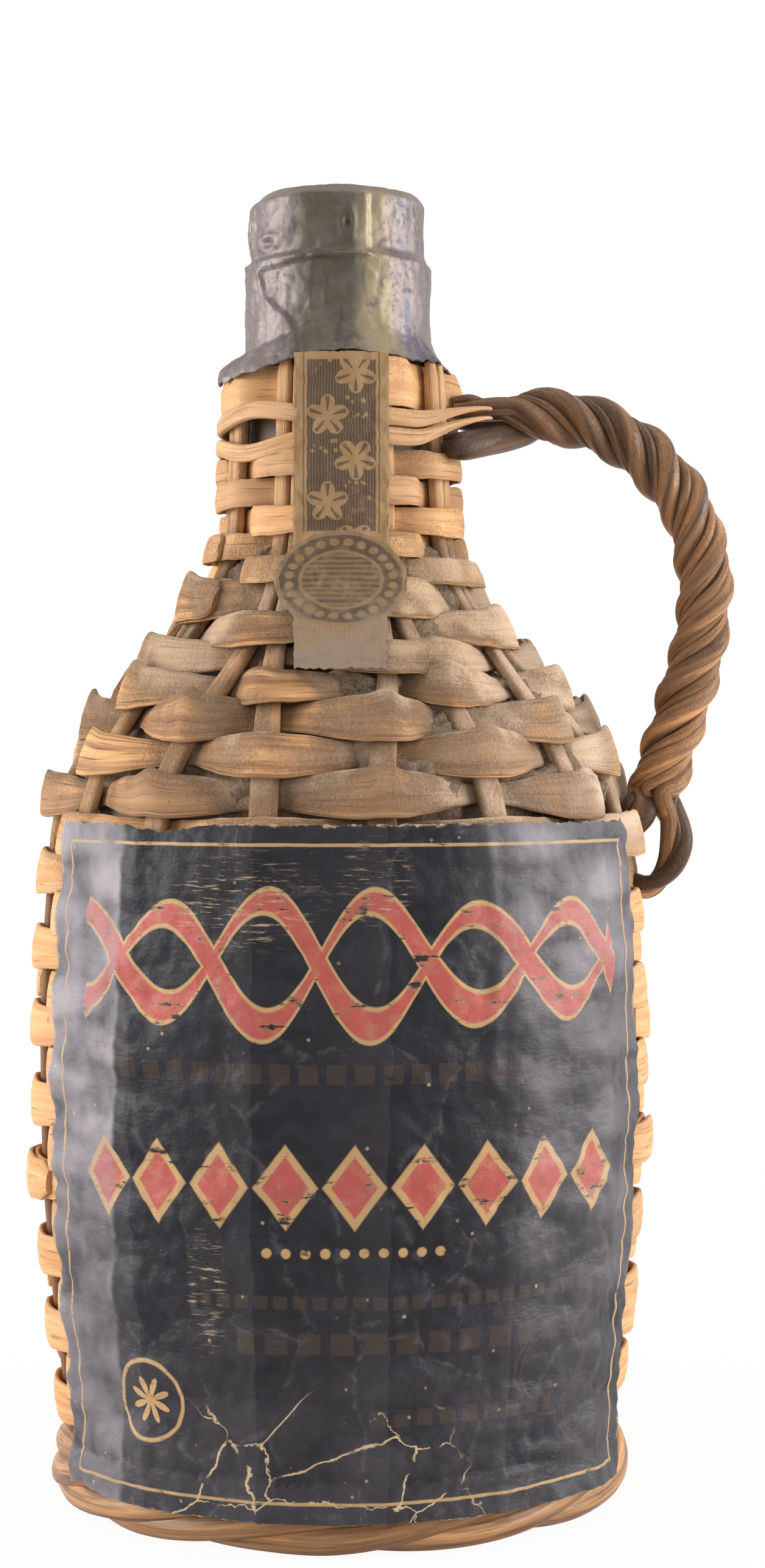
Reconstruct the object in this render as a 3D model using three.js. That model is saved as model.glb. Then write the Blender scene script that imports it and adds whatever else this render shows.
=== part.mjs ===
// A squat glass bottle in a woven wicker jacket, with a twisted cane handle, a bar-top stopper under a
// foil capsule, a large paper label and a narrow paper seal down the neck.
//
// Millimetres, +Z up. The origin is the middle of the base, on the surface that the bottle stands on.
// The label faces -Y and the handle stands on +X. Angles round the axis start at -Y and grow towards +X.
import * as THREE from "three";

// Clear spaces between neighbouring pieces
const GAP = 0.3;
const CORK_GAP = 0.2;
const ROW_GAP = 0.45;

// Glass bottle, outside unless it says otherwise
const BASE_RADIUS = 43.4;
const BELLY_RADIUS = 47.9;
const SHOULDER_RADIUS = 46.5;
const NECK_RADIUS = 16.5;
const FINISH_RADIUS = 15;
const HEEL_RADIUS = 6;
const BODY_HEIGHT = 96;
const SHOULDER_HEIGHT = 58;
const SHOULDER_FULLNESS = 25;
const NECK_TAPER_HEIGHT = 28;
const FINISH_HEIGHT = 15.8;
const BORE_RADIUS = 9.4;
const BORE_DEPTH = 34;
const BORE_FLARE = 8;
const GLASS_WALL = 3.2;
const GLASS_FLOOR = 5;
const PUNT_HEIGHT = 8;

// Stopper and capsule
const CORK_LENGTH = 24;
const CORK_SOCKET = 3;
const HEAD_RADIUS = 14;
const HEAD_HEIGHT = 10.6;
const HEAD_ROUNDING = 1.2;
const FOIL = 0.4;
const SKIRT_FLARE = 5.4;
const SKIRT_HEIGHT = 4.6;
const HEM_WAVE = 1.1;

// Wicker jacket
const STAKES = 16;
const STAKE_WIDTH = 4.6;
const STAKE_TIP_WIDTH = 2.7;
const STAKE_THICKNESS = 2.2;
const STAKE_REACH_IN = 7;
const FIRST_STAKE_ANGLE = 8.95;
const STRIP_THICKNESS = 1;
const STRIP_MARGIN = 0.5;
const LEAST_PASSAGE = 2.6;
const BODY_ROWS = 16;
const SHOULDER_ROWS = 7;
const NECK_ROWS = 5;
const BODY_ROWS_OVERRUN = 7.2;
const SHOULDER_ROWS_SHORT = 13;
const TOP_BAND_WIDTH = 4.6;
const STAKE_TIP_PROUD = 1;
const WRAP_WIDTH = 2.9;
const WRAP_THICKNESS = 1.6;
const WRAP_OPENING = 16;
const JACKET_DROP = 20.6;

// Base mat and foot
const MAT_THICKNESS = 3;
const MAT_MARGIN = 2.5;
const FOOT_ROD_RADIUS = 2.2;

// Papers
const LABEL_THICKNESS = 0.3;
const LABEL_LEFT = -57;
const LABEL_RIGHT = 63.6;
const LABEL_BOTTOM = 5.6;
const LABEL_HEIGHT = 109;
const SEAL_THICKNESS = 0.25;
const SEAL_WIDTH = 16;
const SEAL_DISC = 22.5;
const SEAL_DISC_DROP = 37.3;
const SEAL_TAIL_WIDTH = 14.6;
const SEAL_TAIL_DROP = 20.7;
const SEAL_TOP_DROP = 0.8;
const PAPER_LIFT = 0.4;

// Handle
const STRANDS = 3;
const STRAND_RADIUS = 2;
const STRAND_TURNS = 4.25;
const HANDLE_STANDOFF = 10.6;
const HANDLE_FULLNESS = 21;
const HANDLE_BEND_DROP = 26;
const HANDLE_FOOT_RISE = 8;
const LOW_ROOT_TURN = 27;
const UPPER_ROOT_TURN = 5;
const LOOP_DROP = 14;
const LOOP_REACH = 6.5;

// Facets
const ROUND_SEGMENTS = 28;
const STRAND_SIDES = 6;
const STRAND_STEPS = 54;

const radians = THREE.MathUtils.degToRad;
const mix = THREE.MathUtils.lerp;
const ease = THREE.MathUtils.smoothstep;

// Heights up the bottle, each from the piece below it
const stakeBottom = MAT_THICKNESS + GAP;
const glassBottom = stakeBottom + STAKE_THICKNESS + GAP;
const heelTop = glassBottom + HEEL_RADIUS;
const shoulderBottom = heelTop + BODY_HEIGHT;
const neckBottom = shoulderBottom + SHOULDER_HEIGHT;
const finishBottom = neckBottom + NECK_TAPER_HEIGHT;
const mouth = finishBottom + FINISH_HEIGHT;

// Distances outward from the glass to the middle of each layer of the jacket
const innerStripOffset = GAP + STRIP_THICKNESS / 2;
const stakeOffset = innerStripOffset + STRIP_THICKNESS / 2 + GAP + STAKE_THICKNESS / 2;
const stakeOffsetUnderBase = GAP + STAKE_THICKNESS / 2;
const outerStripOffset = stakeOffset + STAKE_THICKNESS / 2 + GAP + STRIP_THICKNESS / 2;
const jacketOffset = outerStripOffset + STRIP_THICKNESS / 2;
const wrapOffset = stakeOffset + STAKE_THICKNESS / 2 + GAP + WRAP_THICKNESS / 2;

// The outline of the glass from under its base to its mouth, as (radius, height).
const bellyPull = 2 * BELLY_RADIUS - (BASE_RADIUS + SHOULDER_RADIUS) / 2;
const heelStart = BASE_RADIUS - HEEL_RADIUS;
const outline = new THREE.Path();
outline.moveTo(heelStart - STAKE_REACH_IN, glassBottom);
outline.lineTo(heelStart, glassBottom);
outline.absarc(heelStart, heelTop, HEEL_RADIUS, -Math.PI / 2, 0, false);
outline.quadraticCurveTo(bellyPull, (heelTop + shoulderBottom) / 2, SHOULDER_RADIUS, shoulderBottom);
outline.bezierCurveTo(
  SHOULDER_RADIUS, shoulderBottom + SHOULDER_FULLNESS,
  NECK_RADIUS, neckBottom - SHOULDER_FULLNESS,
  NECK_RADIUS, neckBottom,
);
outline.lineTo(FINISH_RADIUS, finishBottom);
outline.lineTo(FINISH_RADIUS, mouth);
const outlineLength = outline.getLength();

// A point (radius, height) at a distance along the outline, moved out from the glass by an offset.
function offOutline(along, offset) {
  const t = THREE.MathUtils.clamp(along / outlineLength, 0, 1);
  const point = outline.getPoint(t);
  const tangent = outline.getTangent(t);
  return new THREE.Vector2(point.x + tangent.y * offset, point.y - tangent.x * offset);
}

// The distance along the outline at which it reaches a height above the heel's bottom.
function alongAt(height) {
  let low = STAKE_REACH_IN;
  let high = outlineLength;
  for (let step = 0; step < 40; step += 1) {
    const middle = (low + high) / 2;
    if (offOutline(middle, 0).y < height) low = middle;
    else high = middle;
  }
  return low;
}

function spun(flat, angle) {
  return new THREE.Vector3(flat.x * Math.sin(angle), -flat.x * Math.cos(angle), flat.y);
}

// Turns a geometry's faces round if they point inwards.
function facingOut(geometry) {
  const position = geometry.getAttribute("position");
  const index = geometry.index.array;
  const [a, b, c] = [new THREE.Vector3(), new THREE.Vector3(), new THREE.Vector3()];
  let volume = 0;
  for (let i = 0; i < index.length; i += 3) {
    a.fromBufferAttribute(position, index[i]);
    b.fromBufferAttribute(position, index[i + 1]);
    c.fromBufferAttribute(position, index[i + 2]);
    volume += a.dot(b.cross(c));
  }
  if (volume < 0) index.reverse();
  return geometry;
}

// A solid through a row of sections, each an even loop of as many points. A ring closes on its first section,
// and a bar has both ends closed by rungs across the section.
function skin(sections, ring) {
  const count = sections[0].length;
  const faces = [];
  const quad = (a, b, c, d) => faces.push(a, b, c, a, c, d);
  const joins = ring ? sections.length : sections.length - 1;
  for (let i = 0; i < joins; i += 1) {
    const here = i * count;
    const next = ((i + 1) % sections.length) * count;
    for (let j = 0; j < count; j += 1) {
      const k = (j + 1) % count;
      quad(here + j, here + k, next + k, next + j);
    }
  }
  if (!ring) {
    const last = (sections.length - 1) * count;
    for (let j = 0; j < count / 2 - 1; j += 1) {
      const across = count - 1 - j;
      quad(j, across, across - 1, j + 1);
      quad(last + j, last + j + 1, last + across - 1, last + across);
    }
  }
  const geometry = new THREE.BufferGeometry().setFromPoints(sections.flat());
  geometry.setIndex(faces);
  return facingOut(geometry);
}

// A solid of revolution about +Z from a profile of (radius, height) points.
function turned(profile) {
  const points = profile.map(([radius, height]) => new THREE.Vector2(radius, height));
  const geometry = new THREE.LatheGeometry(points, ROUND_SEGMENTS);
  geometry.rotateX(Math.PI / 2);
  return facingOut(geometry);
}

// Materials, one for each finish
const finish = (color, roughness, metalness = 0) => new THREE.MeshStandardMaterial({ color, roughness, metalness });
const darkGlass = finish(0x1c1208, 0.12);
const corkBark = finish(0xa9794a, 0.9);
const stopperWood = finish(0x3a2a1e, 0.6);
const oldFoil = finish(0x8b8378, 0.5, 0.6);
const splint = finish(0xb98b58, 0.75);
const peeledRod = finish(0xa8814f, 0.75);
const handleCane = finish(0x7a5232, 0.55);
const footRod = finish(0xb07a45, 0.65);
const labelPaper = finish(0x24242a, 0.6);
const sealPaper = finish(0x8d6f45, 0.8);

const bottle = new THREE.Group();
function add(name, geometry, material) {
  const mesh = new THREE.Mesh(geometry, material);
  mesh.name = name;
  bottle.add(mesh);
}

// Where the rows of the weave lie, as distances along the outline
const heelTopAlong = alongAt(heelTop);
const bodyRowsStart = heelTopAlong + ROW_GAP;
const bodyRowsEnd = alongAt(shoulderBottom) + BODY_ROWS_OVERRUN;
const shoulderRowsEnd = alongAt(neckBottom) - SHOULDER_ROWS_SHORT;
const jacketTop = alongAt(mouth - JACKET_DROP);
const topBandEnd = jacketTop - STAKE_TIP_PROUD;
const topBandStart = topBandEnd - TOP_BAND_WIDTH;
const wrapStarts = [2, 1].map((place) => topBandStart - place * (WRAP_WIDTH + ROW_GAP));
const neckRowsEnd = wrapStarts[0];

function rowsBetween(start, end, count) {
  const pitch = (end - start) / count;
  return Array.from({ length: count }, (_, i) => [start + i * pitch, start + (i + 1) * pitch - ROW_GAP]);
}
const bodyRows = rowsBetween(bodyRowsStart, bodyRowsEnd, BODY_ROWS);
const shoulderRows = rowsBetween(bodyRowsEnd, shoulderRowsEnd, SHOULDER_ROWS);
const neckRows = rowsBetween(shoulderRowsEnd, neckRowsEnd, NECK_ROWS);

// Distances along the outline at which the glass and the stakes both have a corner, so that their flat
// faces lie along those of the strips.
const bodyStep = BODY_ROWS / 4;
const heelStations = [0.33, 0.67, 1].map((share) => mix(STAKE_REACH_IN, heelTopAlong, share));
const stations = [
  0,
  STAKE_REACH_IN,
  ...heelStations,
  ...bodyRows.filter((_, i) => (i > 0 && i % bodyStep === 0) || i > BODY_ROWS - 3).map(([start]) => start),
  ...shoulderRows.map(([start]) => start),
  ...neckRows.map(([start]) => start),
  wrapStarts[0],
  jacketTop,
];

// Glass bottle
function bottleProfile() {
  const bearing = heelStart - STAKE_REACH_IN;
  const puntFloor = glassBottom + PUNT_HEIGHT + GLASS_FLOOR;
  const outside = stations.map((along) => offOutline(along, 0)).map((p) => [p.x, p.y]);
  const boreBottom = mouth - BORE_DEPTH;
  const inside = stations
    .filter((along) => along >= heelTopAlong)
    .map((along) => offOutline(along, -GLASS_WALL))
    .filter((p) => p.y < boreBottom - BORE_FLARE)
    .map((p) => [p.x, p.y])
    .reverse();
  return [
    [0, glassBottom + PUNT_HEIGHT],
    [bearing * 0.5, glassBottom + PUNT_HEIGHT * 0.8],
    [bearing * 0.85, glassBottom + PUNT_HEIGHT * 0.3],
    ...outside,
    [FINISH_RADIUS, mouth],
    [BORE_RADIUS, mouth],
    [BORE_RADIUS, boreBottom],
    ...inside,
    [heelStart, glassBottom + GLASS_FLOOR],
    [bearing * 0.85, glassBottom + GLASS_FLOOR + PUNT_HEIGHT * 0.3],
    [bearing * 0.5, glassBottom + GLASS_FLOOR + PUNT_HEIGHT * 0.8],
    [0, puntFloor],
  ];
}
add("glass_bottle", turned(bottleProfile()), darkGlass);

// Stopper: a wooden head on the glass lip, with the cork glued into its socket
const headBottom = mouth + GAP;
const headTop = headBottom + HEAD_HEIGHT;
const corkRadius = BORE_RADIUS - CORK_GAP;
const corkTop = headBottom + CORK_SOCKET - GAP;
add("stopper_head", turned([
  [0, headBottom + CORK_SOCKET],
  [BORE_RADIUS, headBottom + CORK_SOCKET],
  [BORE_RADIUS, headBottom],
  [HEAD_RADIUS, headBottom],
  [HEAD_RADIUS, headTop - HEAD_ROUNDING],
  [HEAD_RADIUS - HEAD_ROUNDING, headTop],
  [0, headTop],
]), stopperWood);
const corkBottom = mouth - CORK_LENGTH;
add("stopper_cork", turned([
  [0, corkBottom],
  [corkRadius - HEAD_ROUNDING, corkBottom],
  [corkRadius, corkBottom + HEAD_ROUNDING],
  [corkRadius, corkTop],
  [0, corkTop],
]), corkBark);

// Capsule: a foil cup over the stopper and the glass finish, with a flared and torn hem
const capsuleTop = headTop + GAP;
const drumRadius = HEAD_RADIUS + GAP;
const collarRadius = FINISH_RADIUS + GAP;
const hemHeight = mouth - JACKET_DROP + GAP + HEM_WAVE;
const flareStart = hemHeight + SKIRT_HEIGHT;
const hemRadius = collarRadius + SKIRT_FLARE;
function tornHem(geometry) {
  const position = geometry.getAttribute("position");
  for (let i = 0; i < position.count; i += 1) {
    const height = position.getZ(i);
    const around = Math.atan2(position.getX(i), -position.getY(i));
    const share = 1 - ease(height, hemHeight, flareStart);
    const wave = HEM_WAVE * (0.7 * Math.sin(around + radians(15)) + 0.3 * Math.cos(3 * around));
    position.setZ(i, height + share * wave);
  }
  return geometry;
}
const flareMiddle = [mix(collarRadius, hemRadius, 0.4), mix(flareStart, hemHeight, 0.6)];
add("capsule", tornHem(turned([
  [0, capsuleTop],
  [drumRadius - HEAD_ROUNDING, capsuleTop],
  [drumRadius, capsuleTop - HEAD_ROUNDING],
  [drumRadius, mouth + GAP + FOIL],
  [collarRadius, mouth + GAP],
  [collarRadius, flareStart],
  flareMiddle,
  [hemRadius, hemHeight],
  [hemRadius + FOIL, hemHeight],
  [flareMiddle[0] + FOIL, flareMiddle[1] + FOIL],
  [collarRadius + FOIL, flareStart + FOIL],
  [collarRadius + FOIL, mouth + GAP + FOIL],
  [drumRadius + FOIL, mouth + GAP + 2 * FOIL],
  [drumRadius + FOIL, capsuleTop + FOIL - HEAD_ROUNDING],
  [drumRadius + FOIL - HEAD_ROUNDING, capsuleTop + FOIL],
  [0, capsuleTop + FOIL],
])), oldFoil);

// Stakes: split rods that start under the glass, stand up round it and draw together in pairs on the neck
const pairAngle = radians(720 / STAKES);
const stakeSpread = pairAngle / 4;
const firstPair = radians(FIRST_STAKE_ANGLE) + stakeSpread;
function drawnIn(along) {
  return ease(along, bodyRowsEnd, shoulderRowsEnd);
}
function stakeWidth(along) {
  return mix(STAKE_WIDTH, STAKE_TIP_WIDTH, drawnIn(along));
}
function stakeMiddle(along) {
  return mix(stakeOffsetUnderBase, stakeOffset, ease(along, STAKE_REACH_IN, bodyRowsStart));
}
function stakeAngle(stake, along) {
  const pair = Math.floor(stake / 2);
  const side = stake % 2 === 0 ? -1 : 1;
  const touching = (stakeWidth(along) + GAP) / 2 / offOutline(along, stakeMiddle(along)).x;
  return firstPair + pair * pairAngle + side * mix(stakeSpread, touching, drawnIn(along));
}
function stakeSection(stake, along) {
  const angle = stakeAngle(stake, along);
  const tangent = new THREE.Vector3(Math.cos(angle), Math.sin(angle), 0);
  const half = tangent.multiplyScalar(stakeWidth(along) / 2);
  const [inner, outer] = [-1, 1].map((side) =>
    spun(offOutline(along, stakeMiddle(along) + (side * STAKE_THICKNESS) / 2), angle));
  return [
    inner.clone().sub(half), inner.clone().add(half),
    outer.clone().add(half), outer.clone().sub(half),
  ];
}
for (let stake = 0; stake < STAKES; stake += 1) {
  const sections = stations.map((along) => stakeSection(stake, along));
  add(`stake_${String(stake + 1).padStart(2, "0")}`, skin(sections, false), peeledRod);
}

// Strips: each row runs in front of every other stake and behind the rest, and the next row the other way round.
// High on the shoulder, where the stakes of a pair leave no passage, a row crosses both at once.
function crossings(start, end) {
  const radius = offOutline(end, stakeOffset).x;
  const passage = (stakeAngle(1, end) - stakeAngle(0, end)) * radius - stakeWidth(end);
  const together = passage < LEAST_PASSAGE ? 2 : 1;
  const found = [];
  for (let stake = 0; stake < STAKES; stake += together) {
    const edges = [];
    for (const along of [start, end]) {
      const half = (stakeWidth(along) / 2 + STRIP_MARGIN) / offOutline(along, stakeOffset).x;
      edges.push(stakeAngle(stake, along) - half, stakeAngle(stake + together - 1, along) + half);
    }
    found.push([Math.min(...edges), Math.max(...edges)]);
  }
  return found;
}
function strip(start, end, phase) {
  const sections = [];
  crossings(start, end).forEach(([from, to], place) => {
    const front = (place + phase) % 2 === 0;
    const middle = front ? outerStripOffset : innerStripOffset;
    const flatness = 1 / Math.cos((to - from) / 2);
    for (const angle of [from, to]) {
      const corner = (along, side) => {
        const point = offOutline(along, middle + (side * STRIP_THICKNESS) / 2);
        point.x *= flatness;
        return spun(point, angle);
      };
      sections.push([corner(start, -1), corner(end, -1), corner(end, 1), corner(start, 1)]);
    }
  });
  return skin(sections, true);
}
const rows = [
  ...bodyRows.map((row, i) => [`body_strip_${String(i + 1).padStart(2, "0")}`, row]),
  ...shoulderRows.map((row, i) => [`shoulder_strip_${i + 1}`, row]),
  ...neckRows.map((row, i) => [`neck_strip_${i + 1}`, row]),
  ["neck_top_band", [topBandStart, topBandEnd]],
];
rows.forEach(([name, [start, end]], i) => add(name, strip(start, end, i), splint));

// Wraps: two flat canes bound round the neck, open on the handle's side
wrapStarts.forEach((start, place) => {
  const end = start + WRAP_WIDTH;
  const opening = radians(WRAP_OPENING);
  const sections = Array.from({ length: ROUND_SEGMENTS + 1 }, (_, i) => {
    const angle = Math.PI / 2 + opening + ((2 * Math.PI - 2 * opening) * i) / ROUND_SEGMENTS;
    const corner = (along, side) => spun(offOutline(along, wrapOffset + (side * WRAP_THICKNESS) / 2), angle);
    return [corner(start, -1), corner(end, -1), corner(end, 1), corner(start, 1)];
  });
  add(place === 0 ? "lower_neck_wrap" : "upper_neck_wrap", skin(sections, false), peeledRod);
});

// Base mat under the stakes, and two foot rods round them
add("base_mat", turned([
  [0, 0],
  [heelStart + MAT_MARGIN, 0],
  [heelStart + MAT_MARGIN, MAT_THICKNESS],
  [0, MAT_THICKNESS],
]), splint);
const stakeBend = HEEL_RADIUS + stakeOffset + STAKE_THICKNESS / 2;
const rodPitch = 2 * FOOT_ROD_RADIUS + GAP;
const rodHeights = [FOOT_ROD_RADIUS, FOOT_ROD_RADIUS + rodPitch];
const upperRodReach = stakeBend + GAP + FOOT_ROD_RADIUS;
const upperRodRadius = heelStart + Math.sqrt(upperRodReach ** 2 - (heelTop - rodHeights[1]) ** 2);
function footRing(radius, height) {
  const sides = 6;
  const corner = (angle, side) => {
    const turn = ((side + 0.5) * 2 * Math.PI) / sides;
    const flat = new THREE.Vector2(radius, height);
    flat.x += FOOT_ROD_RADIUS * Math.cos(turn);
    flat.y += FOOT_ROD_RADIUS * Math.sin(turn);
    return spun(flat, angle);
  };
  const sections = Array.from({ length: ROUND_SEGMENTS }, (_, i) =>
    Array.from({ length: sides }, (_, side) => corner((2 * Math.PI * i) / ROUND_SEGMENTS, side)));
  return skin(sections, true);
}
add("lower_foot_rod", footRing(upperRodRadius - GAP, rodHeights[0]), footRod);
add("upper_foot_rod", footRing(upperRodRadius, rodHeights[1]), footRod);

// Papers: each section runs down the outer face and back up the inner one
const footReach = upperRodRadius + FOOT_ROD_RADIUS;
function labelPoint(height, lift) {
  const over = offOutline(alongAt(Math.max(height, heelTop)), 0);
  return new THREE.Vector2(Math.max(over.x + jacketOffset, footReach) + lift, height);
}
const labelSections = Array.from({ length: 21 }, (_, i) => {
  const angle = radians(mix(LABEL_LEFT, LABEL_RIGHT, i / 20));
  const heights = Array.from({ length: 7 }, (_, j) => LABEL_BOTTOM + (LABEL_HEIGHT * j) / 6);
  const face = (lift) => heights.map((height) => spun(labelPoint(height, lift), angle));
  return [...face(PAPER_LIFT + LABEL_THICKNESS), ...face(PAPER_LIFT).reverse()];
});
add("front_label", skin(labelSections, false), labelPaper);

const sealTop = topBandEnd - SEAL_TOP_DROP;
const sealOffset = Math.max(jacketOffset, wrapOffset + WRAP_THICKNESS / 2) + PAPER_LIFT;
const sealSteps = 26;
const sealLength = SEAL_DISC_DROP + SEAL_TAIL_DROP;
const sealSections = Array.from({ length: sealSteps + 1 }, (_, i) => {
  const drop = (sealLength * i) / sealSteps;
  const fromDisc = Math.min(Math.abs(drop - SEAL_DISC_DROP), SEAL_DISC / 2);
  const discHalf = Math.sqrt((SEAL_DISC / 2) ** 2 - fromDisc ** 2);
  const half = Math.max((drop < SEAL_DISC_DROP ? SEAL_WIDTH : SEAL_TAIL_WIDTH) / 2, discHalf);
  const across = [-1, -1 / 3, 1 / 3, 1];
  const face = (lift) => across.map((side) => {
    const flat = offOutline(sealTop - drop, sealOffset + lift);
    return spun(flat, (side * half) / flat.x);
  });
  return [...face(SEAL_THICKNESS), ...face(0).reverse()];
});
add("neck_seal", skin(sealSections, false), sealPaper);

// Handle: three canes laid up into a rope from the neck wraps to the shoulder
const handleAngle = Math.PI / 2;
const laySpacing = 1.2 * (STRAND_RADIUS + GAP);
const neckReach = offOutline(wrapStarts[1], wrapOffset + WRAP_THICKNESS / 2).x;
const wrapHeight = offOutline(wrapStarts[1], 0).y;
const handleReach = BELLY_RADIUS + jacketOffset + HANDLE_STANDOFF;
const bendHeight = wrapHeight - HANDLE_BEND_DROP;
const footHeight = shoulderBottom + HANDLE_FOOT_RISE;
const inPlane = (x, z) => new THREE.Vector3(x, 0, z);
const footEnd = jacketPoint(footHeight, laySpacing + 2 * STRAND_RADIUS, handleAngle);
const handleLine = new THREE.CurvePath();
handleLine.add(new THREE.CubicBezierCurve3(
  inPlane(neckReach + laySpacing + STRAND_RADIUS, wrapHeight + STRAND_RADIUS),
  inPlane(neckReach + HANDLE_FULLNESS, wrapHeight + HANDLE_FULLNESS / 3),
  inPlane(handleReach, bendHeight + HANDLE_FULLNESS),
  inPlane(handleReach, bendHeight),
));
handleLine.add(new THREE.CubicBezierCurve3(
  inPlane(handleReach, bendHeight),
  inPlane(handleReach, bendHeight - HANDLE_FULLNESS * 0.8),
  inPlane(footEnd.x + LOOP_REACH * 0.4, footEnd.z + HANDLE_FULLNESS * 0.7),
  footEnd,
));

// A point beside the jacket at a height, moved away from its outermost face.
function jacketPoint(height, away, angle) {
  const flat = offOutline(alongAt(height), jacketOffset);
  return spun(new THREE.Vector2(flat.x + away, height), angle);
}

// Where a strand lies on the rope at a share of the handle's length.
function layPoint(strand, share) {
  const middle = handleLine.getPoint(share);
  const tangent = handleLine.getTangent(share);
  const inward = new THREE.Vector3(tangent.z, 0, -tangent.x);
  const turn = 2 * Math.PI * (STRAND_TURNS * share + strand / STRANDS);
  return middle
    .addScaledVector(inward, laySpacing * Math.cos(turn))
    .addScaledVector(new THREE.Vector3(0, 1, 0), laySpacing * Math.sin(turn));
}

// The ends: at the neck each strand meets the jacket by itself, one low on the front and two above. At the
// shoulder one meets the top of the body and two loop down beside each other.
const bandHeight = offOutline((topBandStart + topBandEnd) / 2, 0).y;
const lowRootHeight = offOutline(neckRows[NECK_ROWS - 1][0], 0).y;
const seat = GAP + STRIP_THICKNESS / 4;
const roots = [
  [lowRootHeight, radians(-LOW_ROOT_TURN)],
  [wrapHeight, radians(UPPER_ROOT_TURN)],
  [bandHeight, radians(-UPPER_ROOT_TURN)],
];
function rootPoints([height, turn]) {
  return [seat, seat + STRAND_RADIUS].map((away) => jacketPoint(height, away, handleAngle + turn));
}
function loopPoints(side) {
  const beside = (drop, share) => {
    const height = footHeight - drop * LOOP_DROP;
    const point = jacketPoint(height, mix(seat, LOOP_REACH, share), handleAngle);
    point.y = side * (STRAND_RADIUS + GAP);
    return point;
  };
  return [beside(0.35, 1), beside(0.7, 0.9), beside(0.97, 0.55), beside(1.05, 0.2), beside(1.05, 0)];
}
const tuckAngle = handleAngle - radians(UPPER_ROOT_TURN);
const tails = [
  loopPoints(1),
  loopPoints(-1),
  [1.5 * STRAND_RADIUS, 0].map((away) => jacketPoint(footHeight + STRAND_RADIUS, seat + away, tuckAngle)),
];
function strandLine(strand) {
  const laid = Array.from({ length: 27 }, (_, i) => layPoint(strand, mix(0.02, 0.97, i / 26)));
  return new THREE.CatmullRomCurve3([...rootPoints(roots[strand]), ...laid, ...tails[strand]], false, "centripetal");
}
function roundSection() {
  const corners = Array.from({ length: STRAND_SIDES }, (_, side) => {
    const turn = (2 * Math.PI * side) / STRAND_SIDES;
    return new THREE.Vector2(STRAND_RADIUS * Math.cos(turn), STRAND_RADIUS * Math.sin(turn));
  });
  return new THREE.Shape(corners);
}
for (let strand = 0; strand < STRANDS; strand += 1) {
  const geometry = new THREE.ExtrudeGeometry(roundSection(), {
    steps: STRAND_STEPS,
    extrudePath: strandLine(strand),
    bevelEnabled: false,
  });
  add(`handle_strand_${strand + 1}`, geometry, handleCane);
}

export default bottle;
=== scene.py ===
"""Looks of a squat glass bottle in a woven wicker jacket, with a twisted cane handle, a foil capsule over
its stopper, a large paper label and a narrow paper seal.

Sizes are in millimetres inside the classes and in metres in the finished meshes. Angles round the axis
start at -Y and grow towards +X, as in the part's source.
"""
import logging
import math
from bisect import bisect_right
from collections.abc import Callable, Iterable
from dataclasses import dataclass, field
from enum import Enum
from functools import cached_property

import bmesh
import bpy
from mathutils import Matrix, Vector, noise
from mathutils.geometry import interpolate_bezier


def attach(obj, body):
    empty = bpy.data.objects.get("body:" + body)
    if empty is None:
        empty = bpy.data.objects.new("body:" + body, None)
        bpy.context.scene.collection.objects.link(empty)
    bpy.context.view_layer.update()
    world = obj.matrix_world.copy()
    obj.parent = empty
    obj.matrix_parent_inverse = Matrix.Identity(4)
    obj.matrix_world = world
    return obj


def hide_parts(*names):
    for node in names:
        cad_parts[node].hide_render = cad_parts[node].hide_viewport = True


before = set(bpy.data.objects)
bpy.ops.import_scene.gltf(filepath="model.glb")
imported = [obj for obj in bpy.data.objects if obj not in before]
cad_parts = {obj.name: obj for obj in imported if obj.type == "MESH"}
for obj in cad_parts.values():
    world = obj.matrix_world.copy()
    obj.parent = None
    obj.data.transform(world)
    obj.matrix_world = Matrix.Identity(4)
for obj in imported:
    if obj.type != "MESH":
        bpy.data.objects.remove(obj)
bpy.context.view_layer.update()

LOG = logging.getLogger("wicker_bottle")
MM = 0.001
FULL_TURN = 2 * math.pi
WELD = 1e-4
PLAIN_FRONT = 0.7
WHITE = (1.0, 1.0, 1.0, 1.0)
Colour = tuple[float, float, float, float]
Place = Callable[[float, float], Vector]
Chart = Callable[[float, float], tuple[float, float]]
Worn = Callable[[float, float], float]


class Body(Enum):
    """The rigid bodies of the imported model."""

    BOTTLE = "bottle"
    STOPPER = "stopper"
    CAPSULE = "capsule"


class Slot(Enum):
    """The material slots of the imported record."""

    GLASS = "glass"
    STOPPER_WOOD = "stopper_wood"
    CORK = "cork"
    FOIL = "foil"
    SPLINT = "splint"
    ROD = "rod"
    FOOT_ROD = "foot_rod"
    CANE = "cane"
    LABEL_PAPER = "label_paper"
    SEAL_PAPER = "seal_paper"


def clamp(value: float, low: float = 0.0, high: float = 1.0) -> float:
    """The value, held between two limits."""
    return max(low, min(high, value))


def mix(first: float, second: float, share: float) -> float:
    """A value part of the way from the first to the second."""
    return first + (second - first) * share


def ease(value: float, low: float, high: float) -> float:
    """A smooth step from 0 at low to 1 at high."""
    share = clamp((value - low) / (high - low))
    return share * share * (3 - 2 * share)


def bell(value: float, middle: float, width: float) -> float:
    """A smooth hump of height 1 at the middle."""
    return math.exp(-(((value - middle) / width) ** 2))


def wander(x: float, y: float = 0.0, z: float = 0.0) -> float:
    """Smooth and repeatable noise between about -0.7 and 0.7."""
    return noise.noise(Vector((x, y, z)))


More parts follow.
